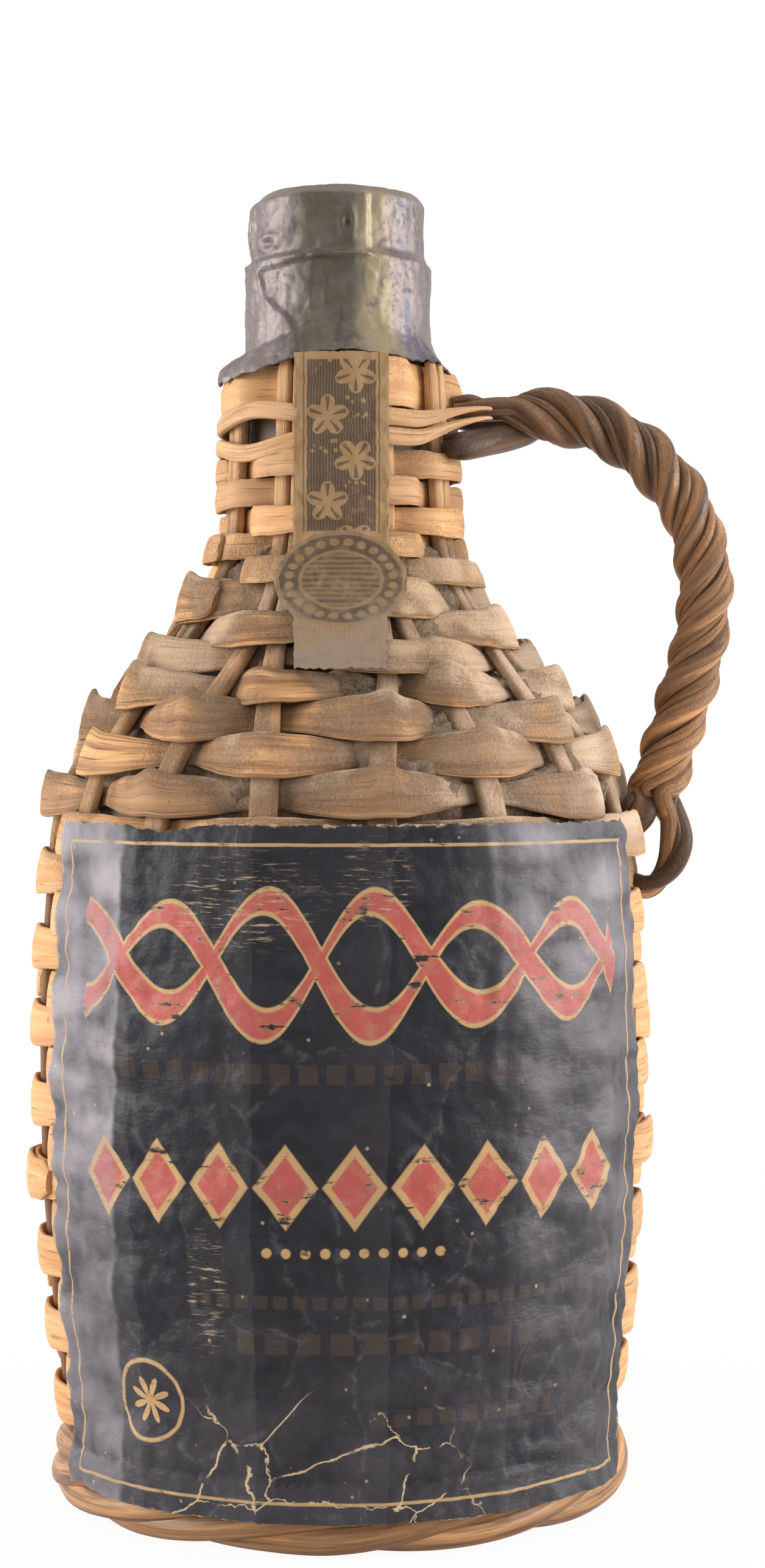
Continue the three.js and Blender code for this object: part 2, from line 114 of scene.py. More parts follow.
def rounded(turn: float, power: float) -> tuple[float, float]:
    """A point of a flat loop with rounded corners.

    Args:
        turn: The angle round the loop, in radians.
        power: 1 for an ellipse, less for squarer corners.

    Returns:
        The place across and the place out, each from -1 to 1.
    """
    cosine, sine = math.cos(turn), math.sin(turn)
    return math.copysign(abs(cosine) ** power, cosine), math.copysign(abs(sine) ** power, sine)


def turn_difference(angle: float, other: float) -> float:
    """The shorter way round from one angle to another, with its sign."""
    return (angle - other + math.pi) % FULL_TURN - math.pi


def polar(radius: float, angle: float, height: float) -> Vector:
    """A point by its radius, its angle round the axis and its height."""
    return Vector((radius * math.sin(angle), -radius * math.cos(angle), height))


def stretch(marks: list[float], value: float) -> int:
    """The place of the first mark past a value, with at least one mark before it."""
    return max(1, min(bisect_right(marks, value), len(marks) - 1))


def add_object(name: str, data: bpy.types.ID) -> bpy.types.Object:
    """A new object in the scene."""
    made = bpy.data.objects.new(name, data)
    bpy.context.scene.collection.objects.link(made)
    return made


def ink(red: float, green: float, blue: float) -> Colour:
    """A colour as a screen shows it, from 0 to 255, made linear for the shaders."""
    parts = (part / 255 for part in (red, green, blue))
    linear = [part / 12.92 if part <= 0.04045 else ((part + 0.055) / 1.055) ** 2.4 for part in parts]
    return (linear[0], linear[1], linear[2], 1.0)


class Wire:
    """A node's output that takes part in Python arithmetic. Each operation adds a Math node."""

    def __init__(self, bench: "Bench", socket: bpy.types.NodeSocket | None) -> None:
        """Wraps an output socket of a bench."""
        self.bench, self.socket = bench, socket

    def out(self, key: int | str) -> "Wire":
        """Another output of the same node."""
        return Wire(self.bench, self.socket.node.outputs[key])

    def _math(self, operation: str, *feeds: "Wire | float") -> "Wire":
        """A Math node with these values."""
        return self.bench.node("ShaderNodeMath", {"operation": operation}, dict(enumerate(feeds)))

    def __add__(self, other: "Wire | float") -> "Wire":
        """Sum."""
        return self._math("ADD", self, other)

    def __radd__(self, other: float) -> "Wire":
        """Sum with a number in front."""
        return self._math("ADD", other, self)

    def __sub__(self, other: "Wire | float") -> "Wire":
        """Difference."""
        return self._math("SUBTRACT", self, other)

    def __rsub__(self, other: float) -> "Wire":
        """Difference from a number."""
        return self._math("SUBTRACT", other, self)

    def __mul__(self, other: "Wire | float") -> "Wire":
        """Product."""
        return self._math("MULTIPLY", self, other)

    def __rmul__(self, other: float) -> "Wire":
        """Product with a number in front."""
        return self._math("MULTIPLY", other, self)

    def __truediv__(self, other: "Wire | float") -> "Wire":
        """Quotient."""
        return self._math("DIVIDE", self, other)

    def __rtruediv__(self, other: float) -> "Wire":
        """Quotient of a number."""
        return self._math("DIVIDE", other, self)

    def __abs__(self) -> "Wire":
        """Absolute value."""
        return self._math("ABSOLUTE", self)

    def least(self, other: "Wire | float") -> "Wire":
        """The lesser of two values."""
        return self._math("MINIMUM", self, other)

    def most(self, other: "Wire | float") -> "Wire":
        """The greater of two values."""
        return self._math("MAXIMUM", self, other)

    def sine(self) -> "Wire":
        """Sine of an angle in radians."""
        return self._math("SINE", self)

    def fraction(self) -> "Wire":
        """The part after the decimal point."""
        return self._math("FRACT", self)

    def root(self) -> "Wire":
        """Square root."""
        return self._math("SQRT", self)

    def reach(self, other: "Wire") -> "Wire":
        """The long side over two legs."""
        return (self * self + other * other).root()

    def turn(self, across: "Wire") -> "Wire":
        """The angle whose tangent is this value over another."""
        return self._math("ARCTAN2", self, across)

    def step(self, low: float, high: float) -> "Wire":
        """A smooth step from 0 at low to 1 at high, which may be the lower of the two."""
        feeds = {0: self, 1: low, 2: high}
        return self.bench.node("ShaderNodeMapRange", {"interpolation_type": "SMOOTHSTEP"}, feeds)


class Bench:
    """The node tree of a material or of the world, with one method that adds any node."""

    def __init__(self, owner: bpy.types.Material | bpy.types.World) -> None:
        """Empties the owner's tree."""
        owner.use_nodes = True
        self.tree = owner.node_tree
        self.tree.nodes.clear()

    def node(self, kind: str, settings: dict | None = None, feeds: dict | None = None) -> Wire:
        """Adds a node.

        Args:
            kind: The node's type.
            settings: Its own properties, set first.
            feeds: Values or wires for its inputs, by name or number.

        Returns:
            The node's first output.
        """
        node = self.tree.nodes.new(kind)
        for name, value in (settings or {}).items():
            setattr(node, name, value)
        for key, value in (feeds or {}).items():
            if isinstance(value, Wire):
                self.tree.links.new(value.socket, node.inputs[key])
            else:
                node.inputs[key].default_value = value
        return Wire(self, next(iter(node.outputs), None))

    def object_mm(self) -> Wire:
        """The place on the object, in millimetres."""
        place = self.node("ShaderNodeTexCoord").out("Object")
        return self.node("ShaderNodeVectorMath", {"operation": "SCALE"}, {0: place, "Scale": 1 / MM})

    def split(self, vector: Wire) -> tuple[Wire, Wire, Wire]:
        """The three parts of a vector."""
        parts = self.node("ShaderNodeSeparateXYZ", None, {0: vector})
        return parts, parts.out("Y"), parts.out("Z")

    def chart(self) -> tuple[Wire, Wire]:
        """The two directions of the piece's own chart, in millimetres."""
        return self.split(self.node("ShaderNodeUVMap", {"uv_map": "chart"}))[:2]

    def seen(self) -> Wire:
        """1 for rays from the camera, and for those that metal or glass sends on."""
        path = self.node("ShaderNodeLightPath")
        return path.most(path.out("Is Glossy Ray")).most(path.out("Is Transmission Ray"))

    def layer(self, name: str) -> Wire:
        """A value that the piece carries at its vertices."""
        return self.node("ShaderNodeAttribute", {"attribute_name": name}).out("Fac")

    def vector(self, x: Wire | float, y: Wire | float, z: Wire | float = 0.0) -> Wire:
        """Three values joined to a vector."""
        return self.node("ShaderNodeCombineXYZ", None, {0: x, 1: y, 2: z})

    def cloud(self, place: Wire, scale: float = 1.0, detail: float = 3.0, roughness: float = 0.55) -> Wire:
        """Fractal noise from 0 to 1 about 0.5."""
        feeds = {"Vector": place, "Scale": scale, "Detail": detail, "Roughness": roughness}
        return self.node("ShaderNodeTexNoise", None, feeds)

    def cells(self, place: Wire, scale: float, feature: str = "DISTANCE_TO_EDGE") -> Wire:
        """Distance to the edge of a cell, or what else the feature names."""
        return self.node("ShaderNodeTexVoronoi", {"feature": feature}, {"Vector": place, "Scale": scale})

    def threads(self, place: Wire, fluff: Wire, scale: float) -> Wire:
        """Thin crossing hairs, bent by the colours of a cloud."""
        bent = self.node("ShaderNodeVectorMath", None, {0: place, 1: fluff.out("Color")})
        return self.cells(bent, scale).step(0.05, 0.0)

    def blend(self, share: Wire | float, first: Wire | Colour, second: Wire | Colour) -> Wire:
        """A colour part of the way from the first to the second."""
        return self.node("ShaderNodeMix", {"data_type": "RGBA"}, {0: share, 6: first, 7: second}).out(2)

    def bump(self, height: Wire, depth: float, under: Wire | None = None) -> Wire:
        """A normal from a height of 0 to 1 that stands for a depth in millimetres."""
        feeds = {"Height": height, "Distance": depth * MM, "Strength": 1.0}
        if under:
            feeds["Normal"] = under
        return self.node("ShaderNodeBump", None, feeds)

    def surface(self, **feeds: Wire | float | Colour) -> None:
        """Ends the tree in the main shader. Underscores in the names stand for spaces."""
        named = {name.replace("_", " ").title().replace("Ior", "IOR"): value for name, value in feeds.items()}
        shader = self.node("ShaderNodeBsdfPrincipled", None, named)
        self.node("ShaderNodeOutputMaterial", None, {"Surface": shader})


@dataclass(frozen=True)
class Finish:
    """A named finish that paints one material."""

    name: str

    def material(self) -> bpy.types.Material:
        """The finish's material, made the first time it is asked for."""
        made = bpy.data.materials.get(self.name)
        if made is None:
            made = bpy.data.materials.new(self.name)
            self.paint(Bench(made))
        return made

    def paint(self, bench: Bench) -> None:
        """Adds the finish's nodes to a bench."""
        raise NotImplementedError


@dataclass(frozen=True)
class WoodFibre(Finish):
    """Split wood, cane or rod: long grain, darker fibres, stains and dust, with painted shade in recesses, a
    painted highlight on crests and dust painted lighter towards the right.
    """

    pale: Colour = ink(230, 182, 130)
    deep: Colour = ink(202, 144, 90)
    fibre: Colour = ink(108, 68, 36)
    aged: Colour = ink(168, 130, 94)
    dust: Colour = ink(138, 115, 94)
    fluff: Colour = ink(208, 180, 151)
    lit_fluff: Colour = ink(236, 208, 181)
    dust_share: float = 0.82
    recess_shade: float = 0.35
    grain_across: float = 1.5
    fibre_share: float = 0.68
    age_share: float = 0.55
    gloss: float = 0.62
    relief: float = 0.20
    coat: float = 0.0
    # shade: share of painted shade, in the fibre colour, in the deepest recesses.
    shade: float = 0.0
    crest_highlight: float = 0.0

    def paint(self, bench: Bench) -> None:
        """Long grain on the piece's chart, stains on the object, dust from its layer, painted shade and
        highlight from the front layer, and dust painted lighter towards the right.
        """
        along, across = bench.chart()
        place = bench.object_mm()
        tone, settled, front = bench.layer("tone"), bench.layer("dust"), bench.layer("front")
        seed = tone * 37.0
        grain = bench.cloud(bench.vector(along * 0.035, across * self.grain_across, seed), 1.0, 4.0, 0.62)
        fine = bench.cloud(bench.vector(along * 0.10, across * self.grain_across * 4.2, seed + 9.0), 1.0, 2.0)
        stain = bench.cloud(place, 0.085, 4.0, 0.6)
        colour = bench.blend(grain.step(0.28, 0.70), self.deep, self.pale)
        # Painted shade: where the front layer is low, in recesses behind stakes and between parts, the colour
        # goes towards the deep colour.
        colour = bench.blend((1.0 - front) * self.recess_shade, colour, self.deep)
        # Painted highlight: the colour goes towards the pale colour on the crests, where the front layer is
        # high.
        colour = bench.blend(front.step(0.55, 1.0) * self.crest_highlight, colour, self.pale)
        aging = ((tone - 0.5) * 0.9 + stain).step(0.42, 0.85) * self.age_share
        colour = bench.blend(aging, colour, self.aged)
        lines = fine.step(0.56, 0.74) * self.fibre_share
        colour = bench.blend(lines, colour, self.fibre)
        spots = bench.cloud(bench.vector(along * 0.6, across * 1.1, seed + 3.0)).step(0.68, 0.78)
        colour = bench.blend(spots * 0.5, colour, self.fibre)
        fluff = bench.cloud(place, 1.9, 4.0, 0.7)
        cover = (settled * 1.5 + (fluff - 0.5) * 0.9).step(0.12, 0.95)
        thick = (settled * 1.2 + (fluff - 0.5) * 0.9).step(0.50, 1.15)
        shows = grain.step(0.62, 0.36) * 0.22 + lines * 0.35
        # Painted light: the dust turns paler towards +x, standing in for the stronger light from the right.
        right = bench.split(place)[0].step(12.0, 40.0)
        dust_lit_right = bench.blend(thick.most(right * 0.45), self.dust, bench.blend(right, self.fluff, self.lit_fluff))
        colour = bench.blend(cover * self.dust_share * (1.0 - shows), colour, dust_lit_right)
        colour = bench.blend(bench.threads(place, fluff, 0.8) * cover * 0.4, colour, self.fluff)
        # Painted shade: far back in recesses the colour goes towards the dark fibre colour, more where dust
        # lies and by the shade share.
        colour = bench.blend((0.5 - front).most(0.0) * (cover * 0.7 + self.shade), colour, self.fibre)
        rough = self.gloss + (grain - 0.5) * 0.2 + cover * 0.3
        relief = bench.bump(grain * 0.6 + fine * 0.4, self.relief)
        relief = bench.bump(fluff * cover, 0.5, relief)
        bench.surface(base_color=colour, roughness=rough, normal=relief, coat_weight=self.coat,
                      specular_ior_level=0.35)


@dataclass(frozen=True)
class DarkGlass(Finish):
    """Nearly black bottle glass with a film of dust."""

    colour: Colour = ink(34, 20, 10)
    film: Colour = ink(124, 96, 70)
    film_full: float = 191.0
    film_end: float = 195.0

    def paint(self, bench: Bench) -> None:
        """Dark gloss that dust dulls."""
        place = bench.object_mm()
        below = bench.split(place)[2].step(self.film_end, self.film_full)
        smear = bench.cloud(place, 0.3, 4.0, 0.6)
        cover = (bench.layer("dust") * 1.3 + smear).step(0.05, 0.5) * below
        colour = bench.blend(cover * 0.85, self.colour, self.film)
        bench.surface(base_color=colour, roughness=cover * 0.5 + 0.1, transmission_weight=0.35, ior=1.5,
                      normal=bench.bump(smear, 0.05))


@dataclass(frozen=True)
class OldFoil(Finish):
    """Dull crumpled foil: dark olive in front and behind, partly tarnish and partly painted shade, a painted
    brassy reflection beside it and mauve grey on the sides.
    """

    olive: Colour = ink(78, 72, 58)
    mauve: Colour = ink(116, 105, 102)
    brass_reflection: Colour = ink(142, 128, 98)
    stain: Colour = ink(62, 54, 52)
    blue: Colour = ink(74, 78, 104)
    dust: Colour = ink(124, 112, 100)
    dust_start: float = 219.8
    dust_full: float = 220.7

    def paint(self, bench: Bench) -> None:
        """Bands round the axis, of tarnish with painted shade and of painted reflection, bluish smudges,
        scuffs, fine crumples and dust on the top.
        """
        place = bench.object_mm()
        x, y, z = bench.split(place)
        patch = bench.cloud(place, 0.16, 4.0, 0.6)
        speck = bench.cloud(place, 0.9, 4.0, 0.7)
        streak = bench.cloud(bench.vector(x * 0.5, y * 0.5, z * 0.06))
        turn = x.turn(0.0 - y) + (streak - 0.5) * 0.5 + (patch - 0.5) * 0.35
        # Painted shade: the dark olive band in front and behind, where the side lamps light the foil least,
        # is partly tarnish and partly shade.
        olive = turn.step(-0.70, -0.36) * turn.step(0.38, 0.14) + abs(turn).step(2.2, 2.7)
        # Painted reflection: brassy bands beside the front and on the sides.
        brass_reflection = turn.step(0.10, 0.34) * turn.step(0.74, 0.44) + abs(abs(turn) - 1.9).step(0.40, 0.10) * 0.6
        colour = bench.blend(olive * (patch.step(0.30, 0.62) * 0.4 + 0.6), self.mauve, self.olive)
        colour = bench.blend(brass_reflection * (patch.step(0.62, 0.34) * 0.4 + 0.55), colour, self.brass_reflection)
        smudge = turn.step(0.70, 0.86) * turn.step(1.35, 1.10) * (streak + speck * 0.6).step(0.78, 0.92)
        colour = bench.blend(smudge * 0.55, colour, self.blue)
        drip = (streak + (speck - 0.5) * 0.3).step(0.52, 0.64) * olive.least(1.0)
        colour = bench.blend(drip * 0.6, colour, self.stain)
        dark = (speck + (patch - 0.5) * 0.8).step(0.54, 0.74).most(1.0 - bench.layer("front"))
        colour = bench.blend(dark * 0.62, colour, self.stain)
        top = z.step(self.dust_start, self.dust_full)
        colour = bench.blend(top * (speck * 0.4 + 0.6), colour, self.dust)
        crumple = bench.cells(place, 0.22).step(0.0, 0.35)
        relief = bench.bump(crumple, 0.12, bench.bump(speck, 0.06))
        bench.surface(base_color=colour, metallic=0.6 - dark * 0.3 - top * 0.3,
                      roughness=0.40 + speck * 0.2 + top * 0.35, normal=relief)


@dataclass(frozen=True)
class LabelPaper(Finish):
    """Dark coated paper with a thin border line, bands of plain ornament, flecks, cracks and creases, and a
    painted sheen towards its sides and on its ridges and creases.
    """

    width: float = 113.0
    height: float = 109.0
    border: float = 3.3
    side_margin: float = 9.0
    ribbon_level: float = 87.5
    ribbon_wave: float = 34.0
    lozenge_level: float = 53.0
    lozenges: int = 9
    dot_level: float = 42.8
    dot_start: float = 41.5
    dot_pitch: float = 3.0
    dots: int = 10
    rosette: tuple[float, float] = (21.0, 17.5)
    ground: Colour = ink(20, 19, 25)
    worn: Colour = ink(64, 60, 66)
    painted_sheen: Colour = ink(152, 145, 149)
    cream: Colour = ink(190, 152, 104)
    red: Colour = ink(174, 80, 74)
    faded: Colour = ink(70, 55, 44)
    bare: Colour = ink(198, 172, 136)

    def paint(self, bench: Bench) -> None:
        """The ground with a painted sheen, the printed ornament, more painted sheen, then what wear takes off
        and painted highlights along creases.
        """
        x, y = bench.chart()
        place = bench.vector(x, y)
        soft = bench.cloud(place, 0.045, 4.0, 0.6)
        mottle = bench.cloud(place, 0.35, 4.0, 0.65)
        rubbed = mottle.step(0.35, 0.8) * (y.step(60.0, 10.0) * 0.16 + 0.22)
        colour = bench.blend(rubbed, self.ground, self.worn)
        aside = abs(x - self.width / 2) / (self.width / 2)
        wrinkle = bench.cloud(bench.vector(x * 0.16 + y * 0.05, y * 0.10), 1.0, 4.0, 0.6)
        # Painted sheen: the worn grey lightens the paper towards both side edges.
        colour = bench.blend((soft + (aside - 0.5) * 0.5).step(0.5, 0.78) * 0.30, colour, self.worn)
        shift = (bench.cloud(place, 0.12, 2.0) - 0.5) * 0.9
        rub = bench.cloud(bench.vector(x * 0.10, y * 0.55), 1.0, 5.0, 0.7)
        kept = (rub + (mottle - 0.5) * 0.5).step(0.68, 0.56)
        colour = self._faint(bench, colour, x, y, kept)
        outline, filled = self._ornament(x + shift * 0.25, y + shift * 0.25)
        colour = bench.blend(outline * kept * 0.94, colour, self.cream)
        colour = bench.blend(filled * (mottle.step(0.75, 0.45) * 0.35 + 0.62) * kept, colour, self.red)
        line = self._border(x, y).step(0.34, 0.16)
        colour = bench.blend(line * kept * 0.9, colour, self.cream)
        # Painted sheen: lighter grey on the left band, the right facets and the low part, on the ridges that
        # the strips press up and across each facet between stakes, weaker over the print.
        bent, crest_highlight = x + shift * 3.0, bench.layer("front")
        upper = y.step(24.0, 74.0)
        left = (bent - upper * 1.8).step(15.4, 14.0) * (upper * 0.80 + 0.82)
        sheen_facet = left + bent.step(80.0, 90.0) * 0.5 * y.step(14.0, 50.0)
        sheen_facet = sheen_facet + bent.step(72.0, 86.0) * y.step(74.0, 92.0) * 0.55 + y.step(44.0, 6.0) * 0.14
        fold = bench.cloud(bench.vector(x * 0.10, y * 0.06, 5.0), 1.0, 2.0, 0.5) - 0.3
        painted_sheen = sheen_facet.least(1.7) * ((fold + mottle * 0.10 + wrinkle * 0.55).step(0.22, 0.78) * 0.72 + 0.14)
        stakes = ((bent - 61.8) / 21.08 + 9.0).fraction()
        painted_sheen = painted_sheen + crest_highlight.step(0.40, 0.95) * (sheen_facet * 0.46 + 0.02) + stakes * stakes * 0.09
        colour = bench.blend(painted_sheen * (1.0 - outline.most(line) * kept * 0.5) * 0.57, colour, self.painted_sheen)
        scuffs = self._scuffs(bench, x, y, mottle)
        colour = bench.blend(scuffs, colour, self.bare)
        chips = bench.cells(bench.vector(x + shift * 2.0, y), 0.42, "F1")
        chipped = chips.step(0.17, 0.05) * chips.out("Color").step(0.72, 0.80) * 0.6
        colour = bench.blend(chipped, colour, self.bare)
        crease = bench.cells(bench.vector(x + shift * 6.0, y + shift * 6.0), 0.055)
        # Painted highlight along the creases.
        colour = bench.blend(crease.step(0.035, 0.0) * mottle.step(0.42, 0.62) * 0.12, colour, self.painted_sheen)
        height = bench.blend(0.5, crease.step(0.0, 0.22), mottle)
        relief = bench.bump(height, 0.45)
        relief = bench.bump(bench.cloud(bench.vector(x * 0.6, y * 1.5)), 0.10, relief)
        bench.surface(base_color=colour, roughness=0.38 + mottle * 0.16 + scuffs * 0.3, normal=relief,
                      specular_ior_level=0.22)

    def _border(self, x: Wire, y: Wire) -> Wire:
        """Distance from the border line."""
        aside = (x - self.border).least(self.width - self.border - x)
        return abs(aside.least((y - self.border).least(self.height - self.border - y)))

    def _ornament(self, x: Wire, y: Wire) -> tuple[Wire, Wire]:
        """Two waved ribbons that cross, a row of lozenges and a small rule of dots, with a rosette in a ring.

        Args:
            x: Place across the label, in millimetres.
            y: Place up the label, in millimetres.

        Returns:
            The mask of the outlines and the mask of the filled parts.
        """
        start, end = self.side_margin, self.width - self.side_margin
        off = 9.0
        beyond = (1.0 - x.step(start - 1.0, start) * x.step(end + 1.0, end)) * off
        turn = x * (FULL_TURN / self.ribbon_wave)
        wave = turn.sine() * (8.4 - (turn * 0.5).sine() * 1.6)
        swell = (turn + 1.2).sine() * 0.9
        above = y - self.ribbon_level
        ribbon = (abs(above - wave) + swell).least(abs(above + wave) - swell)
        pitch = (end - start) / self.lozenges
        along = abs(((x - start) / pitch).fraction() - 0.5) * (pitch / 4.9)
        lozenge = (along + abs(y - self.lozenge_level) / 6.6 - 1.0) * 3.6
        dot_end = self.dot_start + self.dots * self.dot_pitch
        dot_x = (((x - self.dot_start) / self.dot_pitch).fraction() - 0.5) * self.dot_pitch
        dots = dot_x.reach(y - self.dot_level)
        dots = dots + x.step(self.dot_start, self.dot_start - 0.1) * off
        dots = dots + x.step(dot_end, dot_end + 0.1) * off
        from_x, from_y = x - self.rosette[0], y - self.rosette[1]
        radius = from_x.reach(from_y)
        petals = radius - abs((from_y.turn(from_x) * 4.0).sine()) * 3.9
        rosette = (abs(radius - 6.4) - 0.28).least(petals.most(radius - 4.8)).least(radius - 0.9)
        shapes = (ribbon - 2.5 + beyond).least(lozenge + beyond)
        outline = shapes.least((dots - 0.72).least(rosette))
        filled = (ribbon - 1.75 + beyond).least(lozenge + 1.0 + beyond)
        return outline.step(0.22, -0.12), filled.step(0.22, -0.12)

    def _faint(self, bench: Bench, colour: Wire, x: Wire, y: Wire, kept: Wire) -> Wire:
        """Rows of faded dashes and two faded rings, which hardly show on the ground."""
        rows = None
        for middle, half, start, end, pitch in ((70.5, 1.5, 14, 96, 4.3), (35.0, 1.0, 32, 98, 3.1),
                                                (28.5, 1.7, 38, 100, 5.2), (16.5, 1.3, 58, 92, 3.9)):
            dash = abs(((x / pitch).fraction() - 0.5) * pitch) - pitch * 0.34
            mark = dash.most(abs(y - middle) - half).most(start - x).most(x - end)
            rows = mark if rows is None else rows.least(mark)
        for across, up, size in ((92.0, 22.0, 7.0), (100.0, 14.0, 5.0)):
            rows = rows.least(abs(abs((x - across).reach(y - up) - size) - 0.6) - 0.2)
        return bench.blend(rows.step(0.15, -0.1) * kept * 0.55, colour, self.faded)

    def _scuffs(self, bench: Bench, x: Wire, y: Wire, mottle: Wire) -> Wire:
        """Where the bare paper shows: cracks low in the middle, flecks near the top and worn edges."""
        bend = (bench.cloud(bench.vector(x, y), 0.30, 3.0) - 0.5) * 4.0
        cracks = bench.cells(bench.vector(x + bend + 31.0, y * 1.15 + bend), 0.066)
        spread = bench.cloud(bench.vector(x + 40.0, y), 0.05, 3.0)
        low = (1.0 - abs(x - 49.0) / 42.0).most(0.0) * y.step(32.0, 4.0) + (spread - 0.55) * 0.8
        broken = bench.cloud(bench.vector(x, y + 20.0), 0.22, 3.0).step(0.38, 0.50)
        crack = cracks.step(0.013, 0.003) * low.step(0.20, 0.40) * broken
        flakes = bench.cloud(bench.vector(x, y), 0.55, 5.0, 0.75).step(0.66, 0.70) * low.step(0.30, 0.62)
        dry = bench.cloud(bench.vector(x * 0.22, y * 1.9), 1.0, 5.0, 0.72)
        flecks = None
        spots = ((39.0, 97.0, 15.0, 9.0), (60.0, 100.0, 7.0, 8.0), (33.0, 36.0, 4.0, 13.0))
        for middle, up, half, tall in spots:
            from_x, from_y = (x - middle) / half, (y - up) / tall
            patch = dry.step(0.54, 0.66) * (from_x * from_x + from_y * from_y).step(1.0, 0.2) * 0.75
            flecks = patch if flecks is None else flecks.most(patch)
        edge = x.least(self.width - x).least((y * 2.5).least(self.height - y)) + (mottle - 0.5) * 3.2
        frayed = edge.step(0.55, 0.05) * spread.step(0.40, 0.62) * 0.8
        return crack.most(flakes * 0.9).most(flecks).most(frayed)


@dataclass(frozen=True)
class SealPaper(Finish):
    """Tan seal paper with a dark panel of five-petalled flowers and a ringed disc."""

    ground: Colour = ink(148, 115, 76)
    print_ink: Colour = ink(54, 40, 30)
    grey: Colour = ink(136, 119, 103)
    pale: Colour = ink(168, 137, 98)
    disc_drop: float = 41.9
    disc_radius: float = 11.25
    panel_end: float = 30.8
    flower_pitch: float = 7.2
    ring_radius: float = 8.7
    beads: int = 24

    def paint(self, bench: Bench) -> None:
        """The panel, the disc's rings and beads, then dust and wear towards the lower end."""
        x, drop = bench.chart()
        place = bench.vector(x, drop)
        mottle = bench.cloud(place, 0.5, 5.0, 0.65)
        soft = bench.cloud(place, 0.11, 3.0)
        colour = bench.blend(mottle.step(0.35, 0.75) * 0.5, self.ground, self.pale)
        printed = self._panel(bench, x, drop, place).most(self._disc(x, drop))
        kept = (mottle * 0.7 + soft * 0.6 + drop / 260.0).step(1.08, 0.74)
        on_disc = x.reach(drop - self.disc_drop).step(self.disc_radius + 0.35, self.disc_radius - 0.25)
        colour = bench.blend(on_disc * 0.30, colour, self.print_ink)
        colour = bench.blend(printed * kept * 0.92, colour, self.print_ink)
        dusty = (drop / 60.0 + (mottle - 0.5) * 0.5 + (soft - 0.5) * 0.8).step(0.66, 1.10)
        colour = bench.blend(dusty * 0.8, colour, self.grey)
        flecks = bench.cloud(place, 1.4, 3.0).step(0.64, 0.74)
        colour = bench.blend(flecks * 0.35, colour, self.pale)
        crease = bench.cells(bench.vector(x + soft * 5.0, drop * 0.8), 0.14).step(0.0, 0.2)
        relief = bench.bump(crease, 0.3, bench.bump(mottle, 0.22))
        bench.surface(base_color=colour, roughness=0.66 + mottle * 0.2, normal=relief)

    def _panel(self, bench: Bench, x: Wire, drop: Wire, place: Wire) -> Wire:
        """A hatched dark panel with pale flowers and berries between two thin lines."""
        panel = abs(x).step(5.9, 5.6) * drop.step(1.2, 1.5) * drop.step(self.panel_end, self.panel_end - 0.4)
        row = drop / self.flower_pitch
        side = (row * 0.5).fraction().step(0.49, 0.51) * 4.6 - 2.3
        petal_x, petal_y = x + side, (row.fraction() - 0.5) * self.flower_pitch
        reach = petal_x.reach(petal_y)
        lobes = abs((petal_y.turn(petal_x) * 2.5 + side).sine())
        flower = reach - (lobes * 1.5 + 2.0)
        veins = (lobes - 0.93).step(0.0, 0.05) * reach.step(3.3, 3.1) * reach.step(0.8, 1.0)
        small_x, small_y = x - side * 1.35, petal_y + 2.4
        beside = (small_x * small_x + small_y * small_y).step(9.0, 6.0)
        berries = bench.cells(place, 0.75, "F1").step(0.34, 0.22) * beside
        hatch = abs((x / 0.5).fraction() - 0.5).step(0.10, 0.22) * 0.35 + 0.62
        dark = panel * (flower.step(-0.08, 0.12) * (hatch - berries * 0.7)).most(veins * 0.8)
        lines = abs(abs(x) - 6.3).step(0.20, 0.10) * drop.step(self.panel_end + 0.4, self.panel_end)
        return dark.most(lines * 0.7)

    def _disc(self, x: Wire, drop: Wire) -> Wire:
        """A dark ring with pale beads round a ruled field."""
        from_drop = drop - self.disc_drop
        radius = x.reach(from_drop)
        ring = abs(radius - self.ring_radius).step(1.75, 1.55) * 0.85
        bead_turn = ((from_drop.turn(x) * (self.beads / FULL_TURN)).fraction() - 0.5) * 2.3
        beads = bead_turn.reach(radius - self.ring_radius).step(0.95, 0.7)
        rules = abs((from_drop / 1.3).fraction() - 0.5).step(0.20, 0.30) * 0.5 + 0.3
        ruled = (radius - 6.4).step(0.1, -0.1) * rules
        disc = (ring * (1.0 - beads)).most(ruled) * radius.step(self.disc_radius, self.disc_radius - 0.4)
        weft = abs((x / 0.7).fraction() - 0.5).most(abs((drop / 0.7).fraction() - 0.5)).step(0.36, 0.46)
        tail = radius.step(self.disc_radius, self.disc_radius + 0.3) * from_drop.step(4.0, 5.0)
        return disc.most(weft * tail * 0.45)


@dataclass(frozen=True)
class DustFelt(Finish):
    """Grey-brown fluff."""

    pale: Colour = ink(188, 163, 138)
    dark: Colour = ink(104, 84, 66)

    def paint(self, bench: Bench) -> None:
        """Soft mottling with fine threads."""
        place = bench.object_mm()
        fluff, soft = bench.cloud(place, 1.7, 5.0, 0.75), bench.cloud(place, 0.12, 3.0)
        tone = (fluff * 0.7 + soft * 0.6).step(0.42, 0.84).most(bench.threads(place, fluff, 0.9) * 0.8)
        colour = bench.blend(tone, self.dark, self.pale)
        bench.surface(base_color=colour, roughness=1.0, normal=bench.bump(fluff, 0.7), specular_ior_level=0.1)


